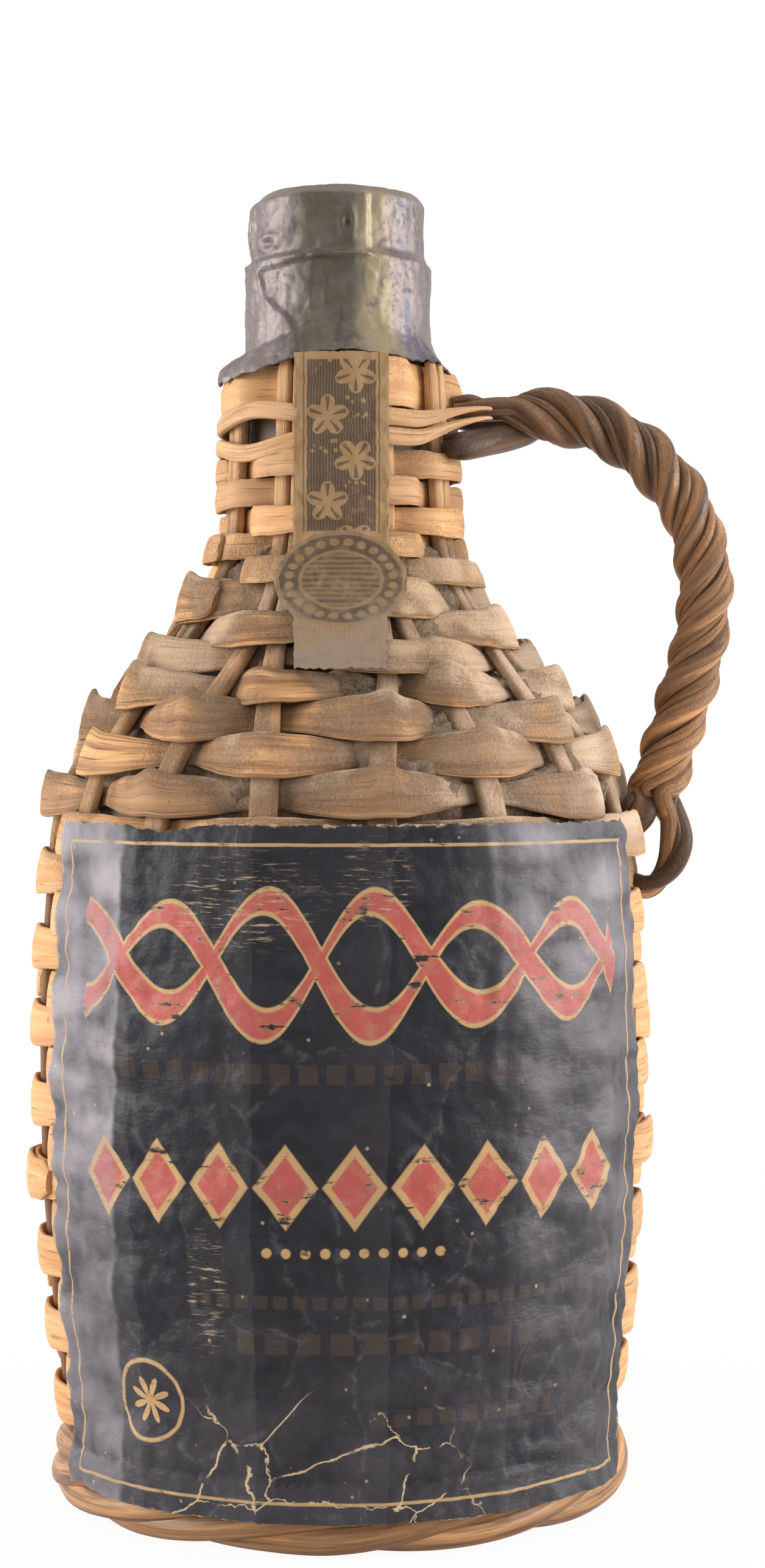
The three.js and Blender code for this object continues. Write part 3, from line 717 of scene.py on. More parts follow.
@dataclass(frozen=True)
class CorkBark(Finish):
    """Cork with darker pores."""

    pale: Colour = ink(190, 148, 100)
    dark: Colour = ink(112, 74, 42)

    def paint(self, bench: Bench) -> None:
        """Mottled bark with pores that run across."""
        place = bench.object_mm()
        mottle = bench.cloud(place, 0.5, 4.0)
        pores = bench.cells(place, 0.45, "F1").step(0.22, 0.10) * mottle.step(0.45, 0.6)
        colour = bench.blend(mottle.step(0.3, 0.75) * 0.4, self.pale, self.dark)
        colour = bench.blend(pores * 0.8, colour, self.dark)
        bench.surface(base_color=colour, roughness=0.85 + mottle * 0.1, normal=bench.bump(1.0 - pores, 0.3))


@dataclass(frozen=True)
class TurnedWood(Finish):
    """Dark turned wood with rings of grain."""

    pale: Colour = ink(92, 66, 44)
    dark: Colour = ink(48, 32, 22)

    def paint(self, bench: Bench) -> None:
        """Rings of grain about the axis, with fine pores."""
        place = bench.object_mm()
        x, y = bench.split(place)[:2]
        warp = bench.cloud(place, 0.12) * 4.0
        rings = ((x * 0.9 + y * 0.25 + warp) * 1.4).sine() * 0.5 + 0.5
        pores = bench.cloud(place, 1.6, 3.0)
        colour = bench.blend(rings * 0.7 + pores * 0.3, self.dark, self.pale)
        bench.surface(base_color=colour, roughness=0.45 + pores * 0.2, normal=bench.bump(pores, 0.08))


SPLINT = WoodFibre("splint_finish")
WEATHERED = WoodFibre("weathered_splint_finish", pale=ink(240, 184, 126), deep=ink(138, 91, 52),
                      fibre=ink(84, 54, 32), aged=ink(136, 103, 75), fibre_share=0.8, age_share=0.6,
                      relief=0.3)
# ROD: the shade share paints shade on the stakes deep in the body's gaps.
ROD = WoodFibre("rod_finish", pale=ink(222, 178, 130), deep=ink(182, 134, 90), fibre=ink(104, 68, 40),
                grain_across=1.1, age_share=0.6, fibre_share=0.7, shade=1.8)
# FOOT_ROD: full painted shade on the rods' lower, inner side, from the front layer.
FOOT_ROD = WoodFibre("foot_rod_finish", pale=ink(230, 170, 110), deep=ink(80, 46, 24), fibre=ink(60, 36, 20),
                     aged=ink(140, 96, 58), dust=ink(112, 78, 50), fluff=ink(150, 108, 72),
                     lit_fluff=ink(150, 108, 72), dust_share=0.5, recess_shade=1.0, grain_across=0.9, gloss=0.5,
                     coat=0.12)
# CANE: painted shade between the canes and a painted highlight on their crests.
CANE = WoodFibre("cane_finish", pale=ink(216, 156, 102), deep=ink(56, 33, 18), fibre=ink(50, 32, 20),
                 aged=ink(118, 84, 58), dust=ink(110, 88, 70), fluff=ink(150, 124, 100),
                 lit_fluff=ink(150, 124, 100), dust_share=0.25, grain_across=0.7, fibre_share=0.5,
                 age_share=0.35, recess_shade=0.95, gloss=0.44, relief=0.14, coat=0.1, crest_highlight=0.2)
GLASS = DarkGlass("dark_glass_finish")
FOIL = OldFoil("foil_finish")
LABEL = LabelPaper("label_finish")
SEAL = SealPaper("seal_finish")
DUST_FELT = DustFelt("dust_finish")
CORK = CorkBark("cork_finish")
STOPPER_WOOD = TurnedWood("stopper_wood_finish")


@dataclass(frozen=True)
class Dust:
    """Where dust lies: on faces that look up, most of all on the shoulder, and more of it towards +x, which
    paints the right side lighter.
    """

    low: float = 96.0
    full: float = 120.0
    thin: float = 150.0
    clean: float = 170.0

    def at(self, point: Vector, normal: Vector, front: float) -> float:
        """How much dust lies on a face.

        Args:
            point: The place, in millimetres.
            normal: The way that the face looks.
            front: How far forward it lies, from 0 to 1.

        Returns:
            From 0, clean, to 1, covered.
        """
        region = ease(point.z, self.low, self.full) * (1 - 0.90 * ease(point.z, self.thin, self.clean))
        # Dust also lies thicker towards +x and thinner towards -x. The pale dust thus paints the right side
        # lighter, as the stronger light from that side would.
        side, high = ease(point.x, 12, 40), ease(point.z, 112, 134)
        facing = 0.10 + 0.22 * ease(point.z, 126, 146) + 0.30 * side + 0.50 * clamp(normal.z * 1.2 + 0.05)
        facing += 0.62 * (1 - front) ** 2
        patch = 0.76 + 1.00 * noise.noise(point * 0.075) + 0.55 * noise.noise(point * 0.31)
        # The x terms below are painted light as well: more dust towards +x, less towards -x.
        patch += 0.36 * clamp(point.x / 32, -0.3, 1.0) * high
        patch += (0.30 - 0.70 * ease(-point.x, 12, 36) + 0.25 * side) * (1 - high)
        covered = facing * mix(0.10, 1.0, region) * clamp(patch, 0.1, 1.4)
        return clamp(covered) if normal.z > -0.4 else 0.0


class Mould:
    """One piece's mesh while it is made, in millimetres."""

    def __init__(self) -> None:
        """Starts an empty mesh with a chart and three layers of values."""
        self.bm = bmesh.new()
        self.chart = self.bm.loops.layers.uv.new("chart")
        self.tone = self.bm.verts.layers.float.new("tone")
        self.dust = self.bm.verts.layers.float.new("dust")
        self.front = self.bm.verts.layers.float.new("front")

    def sheet(self, columns: int, rows: int, place: Place, chart: Chart, tone: float = 0.5,
              front: Worn | None = None) -> None:
        """Lays a grid and moves each of its points to its place.

        Args:
            columns: Cells along the first direction.
            rows: Cells along the second direction.
            place: The point for two shares from 0 to 1.
            chart: The chart's values for the same two shares.
            tone: A value for the whole sheet, which also seeds its grain.
            front: How far forward each point lies, from 0 to 1.
        """
        grid = bmesh.ops.create_grid(self.bm, x_segments=columns, y_segments=rows, size=0.5, calc_uvs=True)
        made = grid["verts"]
        for face in {face for vert in made for face in vert.link_faces}:
            face.smooth = True
            for loop in face.loops:
                loop[self.chart].uv = chart(*loop[self.chart].uv)
        for vert in made:
            u, v = vert.co.x + 0.5, vert.co.y + 0.5
            vert[self.tone] = tone
            vert[self.front] = front(u, v) if front else PLAIN_FRONT
            vert.co = place(u, v)

    def join(self) -> None:
        """Merges the points that meet along the seams."""
        bmesh.ops.remove_doubles(self.bm, verts=self.bm.verts, dist=WELD)

    def close(self) -> None:
        """Joins the seams of what was laid, and fills the ends."""
        self.join()
        ends = [edge for edge in self.bm.edges if edge.is_boundary]
        if ends:
            bmesh.ops.holes_fill(self.bm, edges=ends, sides=0)

    def lathe(self, profile: Iterable[tuple[float, float]], steps: int, tone: float = 0.5) -> None:
        """Turns a profile of radius and height about the axis.

        Args:
            profile: The points, from end to end.
            steps: Facets round the axis.
            tone: A value for the whole piece.
        """
        verts = [self.bm.verts.new((0.0, -radius, height)) for radius, height in profile]
        edges = [self.bm.edges.new(pair) for pair in zip(verts, verts[1:])]
        bmesh.ops.spin(self.bm, geom=verts + edges, cent=(0, 0, 0), axis=(0, 0, 1), angle=FULL_TURN,
                       steps=steps, use_merge=True)
        self.join()
        for vert in self.bm.verts:
            vert[self.tone], vert[self.front] = tone, PLAIN_FRONT
        for face in self.bm.faces:
            face.smooth = True
            for loop in face.loops:
                point = loop.vert.co
                loop[self.chart].uv = (point.z, math.atan2(point.x, -point.y) * 15.0)

    def thicken(self, thickness: float) -> None:
        """Gives a sheet its thickness on the side away from its normals."""
        bmesh.ops.recalc_face_normals(self.bm, faces=self.bm.faces)
        bmesh.ops.solidify(self.bm, geom=self.bm.faces[:], thickness=thickness)

    def hand_over(self, name: str, nodes: Iterable[str], body: Body, slot: Slot, finish: Finish,
                  corner: float = 55.0, recalculate: bool = True) -> None:
        """Makes the object, in metres, and sets it in the frame.

        Args:
            name: The piece's name.
            nodes: The CAD nodes that it stands for.
            body: The body that it moves with.
            slot: The record's material slot. Not used.
            finish: What it is painted with.
            corner: Edges sharper than this angle, in degrees, stay sharp.
            recalculate: Whether the faces are turned outwards first.
        """
        if recalculate:
            bmesh.ops.recalc_face_normals(self.bm, faces=self.bm.faces)
        self.bm.normal_update()
        settling = Dust()
        for vert in self.bm.verts:
            vert[self.dust] = settling.at(vert.co, vert.normal, vert[self.front])
        bmesh.ops.scale(self.bm, vec=(MM, MM, MM), verts=self.bm.verts)
        mesh = bpy.data.meshes.new(name)
        self.bm.to_mesh(mesh)
        self.bm.free()
        mesh.set_sharp_from_angle(angle=math.radians(corner))
        mesh.materials.append(finish.material())
        piece = add_object(name, mesh)
        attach(piece, body.value)
        if nodes:
            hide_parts(*nodes)
        LOG.info("%s: %d faces", name, len(mesh.polygons))


@dataclass(frozen=True)
class Outline:
    """The outline of the glass, from under its base to its mouth, which every layer of the jacket follows."""

    base_radius: float = 43.4
    belly_radius: float = 47.9
    shoulder_radius: float = 46.5
    neck_radius: float = 16.5
    finish_radius: float = 15.0
    heel_radius: float = 6.0
    bottom: float = 5.8
    body_height: float = 96.0
    shoulder_height: float = 58.0
    shoulder_fullness: float = 25.0
    taper_height: float = 28.0
    finish_height: float = 15.8
    reach_in: float = 7.0

    @property
    def heel_start(self) -> float:
        """Radius at which the flat base ends."""
        return self.base_radius - self.heel_radius

    @property
    def heel_top(self) -> float:
        """Height at which the heel ends."""
        return self.bottom + self.heel_radius

    @property
    def shoulder_bottom(self) -> float:
        """Height at which the shoulder starts."""
        return self.heel_top + self.body_height

    @property
    def neck_bottom(self) -> float:
        """Height at which the neck starts."""
        return self.shoulder_bottom + self.shoulder_height

    @property
    def mouth(self) -> float:
        """Height of the lip."""
        return self.neck_bottom + self.taper_height + self.finish_height

    @cached_property
    def points(self) -> list[Vector]:
        """Close points along the outline, as radius and height."""
        curve = 0.5523 * self.heel_radius
        start, heel = Vector((self.heel_start, self.bottom)), Vector((self.base_radius, self.heel_top))
        shoulder = Vector((self.shoulder_radius, self.shoulder_bottom))
        neck = Vector((self.neck_radius, self.neck_bottom))
        finish = Vector((self.finish_radius, self.neck_bottom + self.taper_height))
        pull = Vector((2 * self.belly_radius - (self.base_radius + self.shoulder_radius) / 2,
                       (self.heel_top + self.shoulder_bottom) / 2))
        full = Vector((0, self.shoulder_fullness))
        spans = [
            (start, start + Vector((curve, 0)), heel - Vector((0, curve)), heel),
            (heel, heel.lerp(pull, 2 / 3), shoulder.lerp(pull, 2 / 3), shoulder),
            (shoulder, shoulder + full, neck - full, neck),
            (neck, neck.lerp(finish, 1 / 3), neck.lerp(finish, 2 / 3), finish),
        ]
        found = [start - Vector((self.reach_in, 0))]
        for span in spans:
            arc = interpolate_bezier(*[knot.to_3d() for knot in span], 90)
            found.extend(Vector(point[:2]) for point in arc[:-1])
        return [*found, finish, Vector((self.finish_radius, self.mouth))]

    @cached_property
    def lengths(self) -> list[float]:
        """Distance along the outline at each point."""
        total, found = 0.0, [0.0]
        for first, second in zip(self.points, self.points[1:]):
            total += (second - first).length
            found.append(total)
        return found

    def on(self, along: float) -> Vector:
        """The point at a distance along the outline."""
        along = clamp(along, 0.0, self.lengths[-1])
        place = stretch(self.lengths, along)
        low, high = self.lengths[place - 1], self.lengths[place]
        return self.points[place - 1].lerp(self.points[place], (along - low) / (high - low))

    def run(self, along: float) -> Vector:
        """The way that the outline runs at a distance along it."""
        return (self.on(along + 0.4) - self.on(along - 0.4)).normalized()

    def off(self, along: float, offset: float) -> Vector:
        """The point that stands an offset out from the glass."""
        run = self.run(along)
        here = self.on(along)
        return Vector((here.x + run.y * offset, here.y - run.x * offset))

    def ring(self, along: float, offset: float, angle: float) -> Vector:
        """The same point, turned about the axis."""
        flat = self.off(along, offset)
        return polar(flat.x, angle, flat.y)

    def band(self, along: float, lift: float, rise: float, upright: float, angle: float) -> Vector:
        """A point of a flat band that lies round the outline.

        Args:
            along: Distance along the outline to the band's middle line.
            lift: Distance out from the glass.
            rise: Distance up the band from its middle line.
            upright: From 0, where the band lies along the outline, to 1, where it stands upright.
            angle: The angle round the axis.

        Returns:
            The point.
        """
        run, level = self.run(along), 2.7
        flat, way = self.off(along, level), run.lerp(Vector((0, 1)), upright).normalized() * rise
        radius = flat.x + (lift - level) / max(run.y, 0.6) + way.x
        return polar(radius, angle, flat.y + way.y)

    @cached_property
    def heights(self) -> list[float]:
        """The height of each point."""
        return [point.y for point in self.points]

    def along_at(self, height: float) -> float:
        """The distance along the outline at which it reaches a height."""
        heights = self.heights
        place = stretch(heights, height)
        share = (height - heights[place - 1]) / max(heights[place] - heights[place - 1], 1e-9)
        return mix(self.lengths[place - 1], self.lengths[place], clamp(share))


@dataclass(frozen=True)
class StripStyle:
    """How the strips of one zone are cut and bent, in shares of the row's width or in millimetres."""

    finish: WoodFibre = SPLINT
    broad: float = 0.60
    pinch: float = 0.12
    tilt: float = 0.0
    stand: float = 0.0
    proud: float = 0.0
    fold: float = 0.2
    loose: float = 0.5
    raised: float = 0.0
    widened: float = 0.0
    tucked: float = 0.0
    peak: float = 0.1


BODY_STRIP = StripStyle(tilt=0.2, peak=0.45)
SHOULDER_STRIP = StripStyle(WEATHERED, broad=0.61, pinch=0.27, stand=0.55, proud=1.1, fold=1.2, loose=1.0,
                            peak=0.85)
NECK_STRIP = StripStyle(broad=0.555, pinch=0.03)
TOP_BAND = StripStyle(broad=0.555, pinch=0.03, raised=1.7, widened=1.6, tucked=0.9)


@dataclass(frozen=True)
class Row:
    """One round of the weave, with the angles at which it crosses the stakes."""

    name: str
    start: float
    end: float
    index: int
    crossings: tuple[float, ...]
    margin: float
    style: StripStyle

    @property
    def middle(self) -> float:
        """Distance along the outline at the middle of the row."""
        return (self.start + self.end) / 2

    @property
    def width(self) -> float:
        """The width of the row's place."""
        return self.end - self.start

    @cached_property
    def gaps(self) -> list[float]:
        """The angles from the first crossing to each of the others, and to itself again."""
        return [crossing - self.crossings[0] for crossing in self.crossings] + [FULL_TURN]

    def swing(self, angle: float) -> tuple[float, float]:
        """How a strip passes the stakes.

        Args:
            angle: The angle round the axis.

        Returns:
            From -1, behind, to 1, in front, and how far it is from a stake that it passes in front of
            to one that it passes behind, from 0 to 1.
        """
        past = (angle - self.crossings[0]) % FULL_TURN
        place = stretch(self.gaps, past) - 1
        gap = self.gaps[place + 1] - self.gaps[place]
        share = (past - self.gaps[place]) / gap
        near = share if (place + self.index) % 2 == 0 else 1 - share
        end = 1 - clamp(self.margin / gap, 0.08, 0.42)
        start = mix(max(1 - end, end - 0.48), 0.04, self.style.peak)
        down = clamp((near - start) / (end - start))
        return 1 - 2 * mix(ease(down, 0, 1), down, self.style.peak), near


@dataclass(frozen=True)
class Weave:
    """Where the stakes stand and the rows lie on the outline."""

    outline: Outline = field(default_factory=Outline)
    stakes: int = 16
    first_stake: float = math.radians(8.95)
    stake_width: float = 4.6
    tip_width: float = 2.7
    stake_offset: float = 2.7
    stake_offset_under: float = 1.4
    least_passage: float = 2.6
    row_gap: float = 0.45
    body_rows: int = 16
    shoulder_rows: int = 7
    neck_rows: int = 5
    body_overrun: float = 7.2
    shoulder_short: float = 13.0
    top_band: float = 4.6
    tip_proud: float = 1.0
    wrap_width: float = 2.9
    jacket_drop: float = 20.6

    @cached_property
    def body_start(self) -> float:
        """Distance along the outline at which the rows start."""
        return self.outline.along_at(self.outline.heel_top) + self.row_gap

    @cached_property
    def body_end(self) -> float:
        """Where the body's rows end."""
        return self.outline.along_at(self.outline.shoulder_bottom) + self.body_overrun

    @cached_property
    def shoulder_end(self) -> float:
        """Where the shoulder's rows end."""
        return self.outline.along_at(self.outline.neck_bottom) - self.shoulder_short

    @cached_property
    def top(self) -> float:
        """Where the stakes end."""
        return self.outline.along_at(self.outline.mouth - self.jacket_drop)

    @cached_property
    def band_start(self) -> float:
        """Where the wide band at the top starts."""
        return self.top - self.tip_proud - self.top_band

    @cached_property
    def wraps(self) -> tuple[float, float]:
        """Where the two neck wraps start."""
        pitch = self.wrap_width + self.row_gap
        return self.band_start - 2 * pitch, self.band_start - pitch

    def drawn_in(self, along: float) -> float:
        """How far the stakes have drawn together in pairs."""
        return ease(along, self.body_end, self.shoulder_end)

    def width_at(self, along: float) -> float:
        """A stake's width."""
        return mix(self.stake_width, self.tip_width, self.drawn_in(along))

    def offset_at(self, along: float) -> float:
        """A stake's distance out from the glass."""
        share = ease(along, self.outline.reach_in, self.body_start)
        return mix(self.stake_offset_under, self.stake_offset, share)

    def stake_angle(self, stake: int, along: float) -> float:
        """The angle of a stake's middle."""
        pair = 2 * FULL_TURN / self.stakes
        side = -1 if stake % 2 == 0 else 1
        touching = (self.width_at(along) + 0.3) / 2 / self.outline.off(along, self.offset_at(along)).x
        apart = side * mix(pair / 4, touching, self.drawn_in(along))
        return self.first_stake + pair / 4 + stake // 2 * pair + apart

    def row(self, name: str, start: float, end: float, index: int, style: StripStyle) -> Row:
        """A row that crosses single stakes, or pairs where no strip fits between them.

        Args:
            name: The name of the row's CAD node.
            start: Distance along the outline to its lower edge.
            end: Distance along the outline to its upper edge.
            index: Its place in the whole weave.
            style: How it is cut and bent.

        Returns:
            The row.
        """
        middle = (start + end) / 2
        radius, width = self.outline.off(end, self.stake_offset).x, self.width_at(end)
        passage = (self.stake_angle(1, end) - self.stake_angle(0, end)) * radius - width
        angles = [self.stake_angle(stake, middle) for stake in range(self.stakes)]
        if passage >= self.least_passage:
            return Row(name, start, end, index, tuple(angles), (width / 2 + 0.5) / radius, style)
        pairs = tuple((first + second) / 2 for first, second in zip(angles[::2], angles[1::2]))
        return Row(name, start, end, index, pairs, (width + passage / 2 + 0.5) / radius, style)

    @cached_property
    def rows(self) -> list[Row]:
        """Every row from the foot to the band at the top."""
        found = []
        zones = (("body_strip_{:02d}", self.body_start, self.body_end, self.body_rows, BODY_STRIP),
                 ("shoulder_strip_{}", self.body_end, self.shoulder_end, self.shoulder_rows, SHOULDER_STRIP),
                 ("neck_strip_{}", self.shoulder_end, self.wraps[0], self.neck_rows, NECK_STRIP))
        for label, start, end, count, style in zones:
            pitch = (end - start) / count
            for place in range(count):
                name, low = label.format(place + 1), start + place * pitch
                found.append(self.row(name, low, low + pitch - self.row_gap, len(found), style))
        band_end = self.band_start + self.top_band
        found.append(self.row("neck_top_band", self.band_start, band_end, len(found), TOP_BAND))
        return found


@dataclass(frozen=True)
class GlassBottle:
    """The dark bottle inside the jacket."""

    outline: Outline
    wall: float = 3.2
    floor: float = 5.0
    punt: float = 8.0
    bore: float = 9.4
    bore_depth: float = 34.0
    flare: float = 8.0
    lip: float = 1.0

    def build(self) -> None:
        """Turns the bottle from its outside, its bore and its inside."""
        line, mould = self.outline, Mould()
        bearing, bore_bottom = line.heel_start - line.reach_in, line.mouth - self.bore_depth
        last = line.lengths[-1] - self.lip
        outside = [tuple(line.on(last * step / 110)) for step in range(111)]
        start = line.along_at(line.heel_top)
        walls = [line.off(mix(start, last, step / 90), -self.wall) for step in range(91)]
        inside = [tuple(point) for point in walls if point.y < bore_bottom - self.flare]
        lip = [(line.finish_radius - 0.3, line.mouth - 0.3), (line.finish_radius - self.lip, line.mouth),
               (self.bore + self.lip, line.mouth), (self.bore, line.mouth - self.lip)]
        arch = [(bearing * math.sin(share * math.pi / 2), self.punt * math.cos(share * math.pi / 2) ** 1.5)
                for share in (0, 0.2, 0.4, 0.6, 0.8, 0.92)]
        under = [(radius, line.bottom + rise) for radius, rise in arch]
        above = [(radius, line.bottom + self.floor + rise) for radius, rise in reversed(arch)]
        mould.lathe([*under, *outside, *lip, (self.bore, bore_bottom), *reversed(inside),
                     (line.heel_start, line.bottom + self.floor), *above], 96)
        mould.hand_over("bottle_glass", ["glass_bottle"], Body.BOTTLE, Slot.GLASS, GLASS, 40.0)


@dataclass(frozen=True)
class Stopper:
    """The wooden head and the cork glued into it."""

    outline: Outline
    gap: float = 0.3
    head_radius: float = 14.0
    head_height: float = 10.6
    rounding: float = 1.2
    bore: float = 9.4
    cork_radius: float = 9.2
    cork_length: float = 24.0
    socket: float = 3.0

    def build(self) -> None:
        """Turns the head and the cork."""
        low = self.outline.mouth + self.gap
        high, edge = low + self.head_height, self.rounding
        corner = [(self.head_radius - edge + edge * math.sin(turn), high - edge + edge * math.cos(turn))
                  for turn in (math.pi / 2 * step / 6 for step in range(7))]
        head = Mould()
        head.lathe([(0, low + self.socket), (self.bore, low + self.socket), (self.bore, low),
                    (self.head_radius - 0.4, low), (self.head_radius, low + 0.4), *reversed(corner),
                    (0, high)], 72)
        head.hand_over("stopper_top", ["stopper_head"], Body.STOPPER, Slot.STOPPER_WOOD, STOPPER_WOOD, 40.0)
        cork_low, cork_high = self.outline.mouth - self.cork_length, low + self.socket - self.gap
        cork = Mould()
        steps = 16
        sides = [(self.cork_radius - 0.12 * abs(wander(step * 0.9)),
                  mix(cork_low + edge, cork_high, step / steps)) for step in range(steps + 1)]
        cork.lathe([(0, cork_low), (self.cork_radius - edge, cork_low),
                    (self.cork_radius - 0.35, cork_low + 0.35), *sides, (0, cork_high)], 64)
        cork.hand_over("stopper_stem", ["stopper_cork"], Body.STOPPER, Slot.CORK, CORK, 40.0)


@dataclass(frozen=True)
class Capsule:
    """The crumpled foil cup over the stopper and the finish, with a torn and flared hem."""

    outline: Outline
    foil: float = 0.3
    drum_radius: float = 14.62
    collar_radius: float = 15.68
    rounding: float = 1.5
    top: float = 221.2
    hem_height: float = 191.2
    hem_radius: float = 20.6
    flare_height: float = 5.4
    top_end: float = 0.22
    edge_end: float = 0.32
    drum_end: float = 0.52
    collar_end: float = 0.80
    lap: tuple[tuple[float, float], ...] = (
        (193.7, -22.0), (199.1, -31.0), (203.1, -51.0), (207.5, -56.0), (208.2, -32.0), (209.2, 20.0))
    dents: tuple[tuple[float, float, float, float], ...] = (
        (-0.9, 212.2, 1.6, 0.8), (-1.35, 215.6, 1.0, 2.6), (0.1, 214.8, 0.6, 1.6))
    columns: int = 240
    rows: int = 130

    def build(self) -> None:
        """Lays the foil as a sheet round the axis, and thickens it inwards."""
        mould = Mould()
        mould.sheet(self.columns, self.rows, self.place, lambda u, v: (u * 100, v * 60), 0.5, self.worn)
        mould.join()
        mould.thicken(self.foil)
        mould.hand_over("foil_capsule", ["capsule"], Body.CAPSULE, Slot.FOIL, FOIL, 70.0, False)

    def section(self, share: float, angle: float) -> tuple[float, float]:
        """The foil's smooth shape before it is crumpled.

        Args:
            share: From 0 at the middle of the top to 1 at the hem.
            angle: The angle round the axis.

        Returns:
            Radius and height.
        """
        crease = self.outline.mouth + 0.7
        flat = self.drum_radius * 0.9
        if share < self.top_end:
            return flat * share / self.top_end, self.top
        if share < self.edge_end:
            turn = (share - self.top_end) / (self.edge_end - self.top_end) * math.pi / 2
            radius = mix(flat, self.drum_radius, math.sin(turn))
            return radius, self.top - self.rounding * (1 - math.cos(turn))
        if share < self.drum_end:
            down = (share - self.edge_end) / (self.drum_end - self.edge_end)
            return self.drum_radius, mix(self.top - self.rounding, crease, down)
        hem = self.hem(angle)
        if share < self.collar_end:
            down = (share - self.drum_end) / (self.collar_end - self.drum_end)
            radius = mix(self.drum_radius, self.collar_radius, ease(down, 0, 0.09))
            return radius, mix(crease, hem + self.flare_height, down)
        down, lobe = (share - self.collar_end) / (1 - self.collar_end), self.lobe(angle)
        reach = self.hem_radius - 1.9 * (1 - lobe)
        radius = mix(self.collar_radius, reach, mix(down ** 1.5, math.sin(down * 1.75), lobe))
        return radius, mix(hem + self.flare_height, hem, down)

    def lobe(self, angle: float) -> float:
        """How far the hem rolls out into its wide lobe on the left."""
        return bell(turn_difference(angle, math.radians(-68)), 0.0, 0.62)

    def hem(self, angle: float) -> float:
        """The height of the torn hem."""
        round_x, round_y = math.sin(angle), math.cos(angle)
        high = 1.7 * bell(turn_difference(angle, 0.0), 0.0, 0.5)
        high += bell(turn_difference(angle, 0.95), 0.0, 0.5)
        torn = 0.7 * wander(3.0 * round_x, 3.0 * round_y, 4.0)
        torn += 0.5 * wander(11.0 * round_x, 11.0 * round_y, 9.0)
        return self.hem_height + high - 2.4 * self.lobe(angle) + torn

    def flap(self, angle: float, height: float) -> float:
        """How far the foil's lapped edge stands up on the left of the collar, from 0 to 1."""
        place = stretch([level for level, _ in self.lap], height)
        (low, first), (high, second) = self.lap[place - 1], self.lap[place]
        limit = math.radians(mix(first, second, clamp((height - low) / (high - low))))
        return ease(limit - angle, -0.03, 0.03) * ease(angle, -2.3, -1.5)

    def worn(self, u: float, v: float) -> float:
        """1 on plain foil and less along the lapped edge, where dirt gathers."""
        angle = u * FULL_TURN - math.pi
        lapped = self.flap(angle, self.section(v, angle)[1])
        return 1 - 3.4 * lapped * (1 - lapped) * ease(v, 0.5, 0.55)

    def place(self, u: float, v: float) -> Vector:
        """A point of the foil, with its dents, folds, lapped edge and drawn skirt."""
        angle = u * FULL_TURN - math.pi
        radius, height = self.section(v, angle)
        around = Vector((math.sin(angle), -math.cos(angle), 0))
        spot = around * radius + Vector((0, 0, height))
        dent = noise.noise(spot * 0.16 + Vector((0, 0, 7))) * 0.40
        fold = abs(noise.noise(Vector((spot.x * 0.34, spot.y * 0.34, height * 0.13)))) * 0.6
        fine = abs(noise.noise(spot * 0.62)) * 0.25
        left = 0.40 + 0.60 * bell(turn_difference(angle, -1.0), 0.0, 0.8)
        wall, skirt = ease(v, 0.26, 0.34), ease(v, 0.72, 0.95)
        gather = math.sin(angle * 13 + 2.2 * wander(2 * around.x, 2 * around.y, 3)) * 0.3 * skirt
        push = (dent + (fold + fine) * left) * (1 + 0.5 * skirt) + gather + 0.65 * self.flap(angle, height)
        for turn, level, wide, tall in self.dents:
            away = math.hypot(turn_difference(angle, turn) * radius / wide, (height - level) / tall)
            push += 0.4 * bell(away, 1.5, 0.8) - 0.5 * bell(away, 0.0, 0.8)
        seam = 0.30 * bell(height, self.outline.mouth + 0.2 + 0.5 * math.sin(angle), 0.5)
        radius += max(push + seam, -0.14) * wall
        rim = 0.30 * bell(v, 0.235, 0.02) - 0.35 * ease(0.22 - v, 0.0, 0.05)
        height += rim + (dent - fine) * 0.5 * (1 - wall) * ease(v, 0.0, 0.06)
        return Vector((radius * around.x, radius * around.y, height))


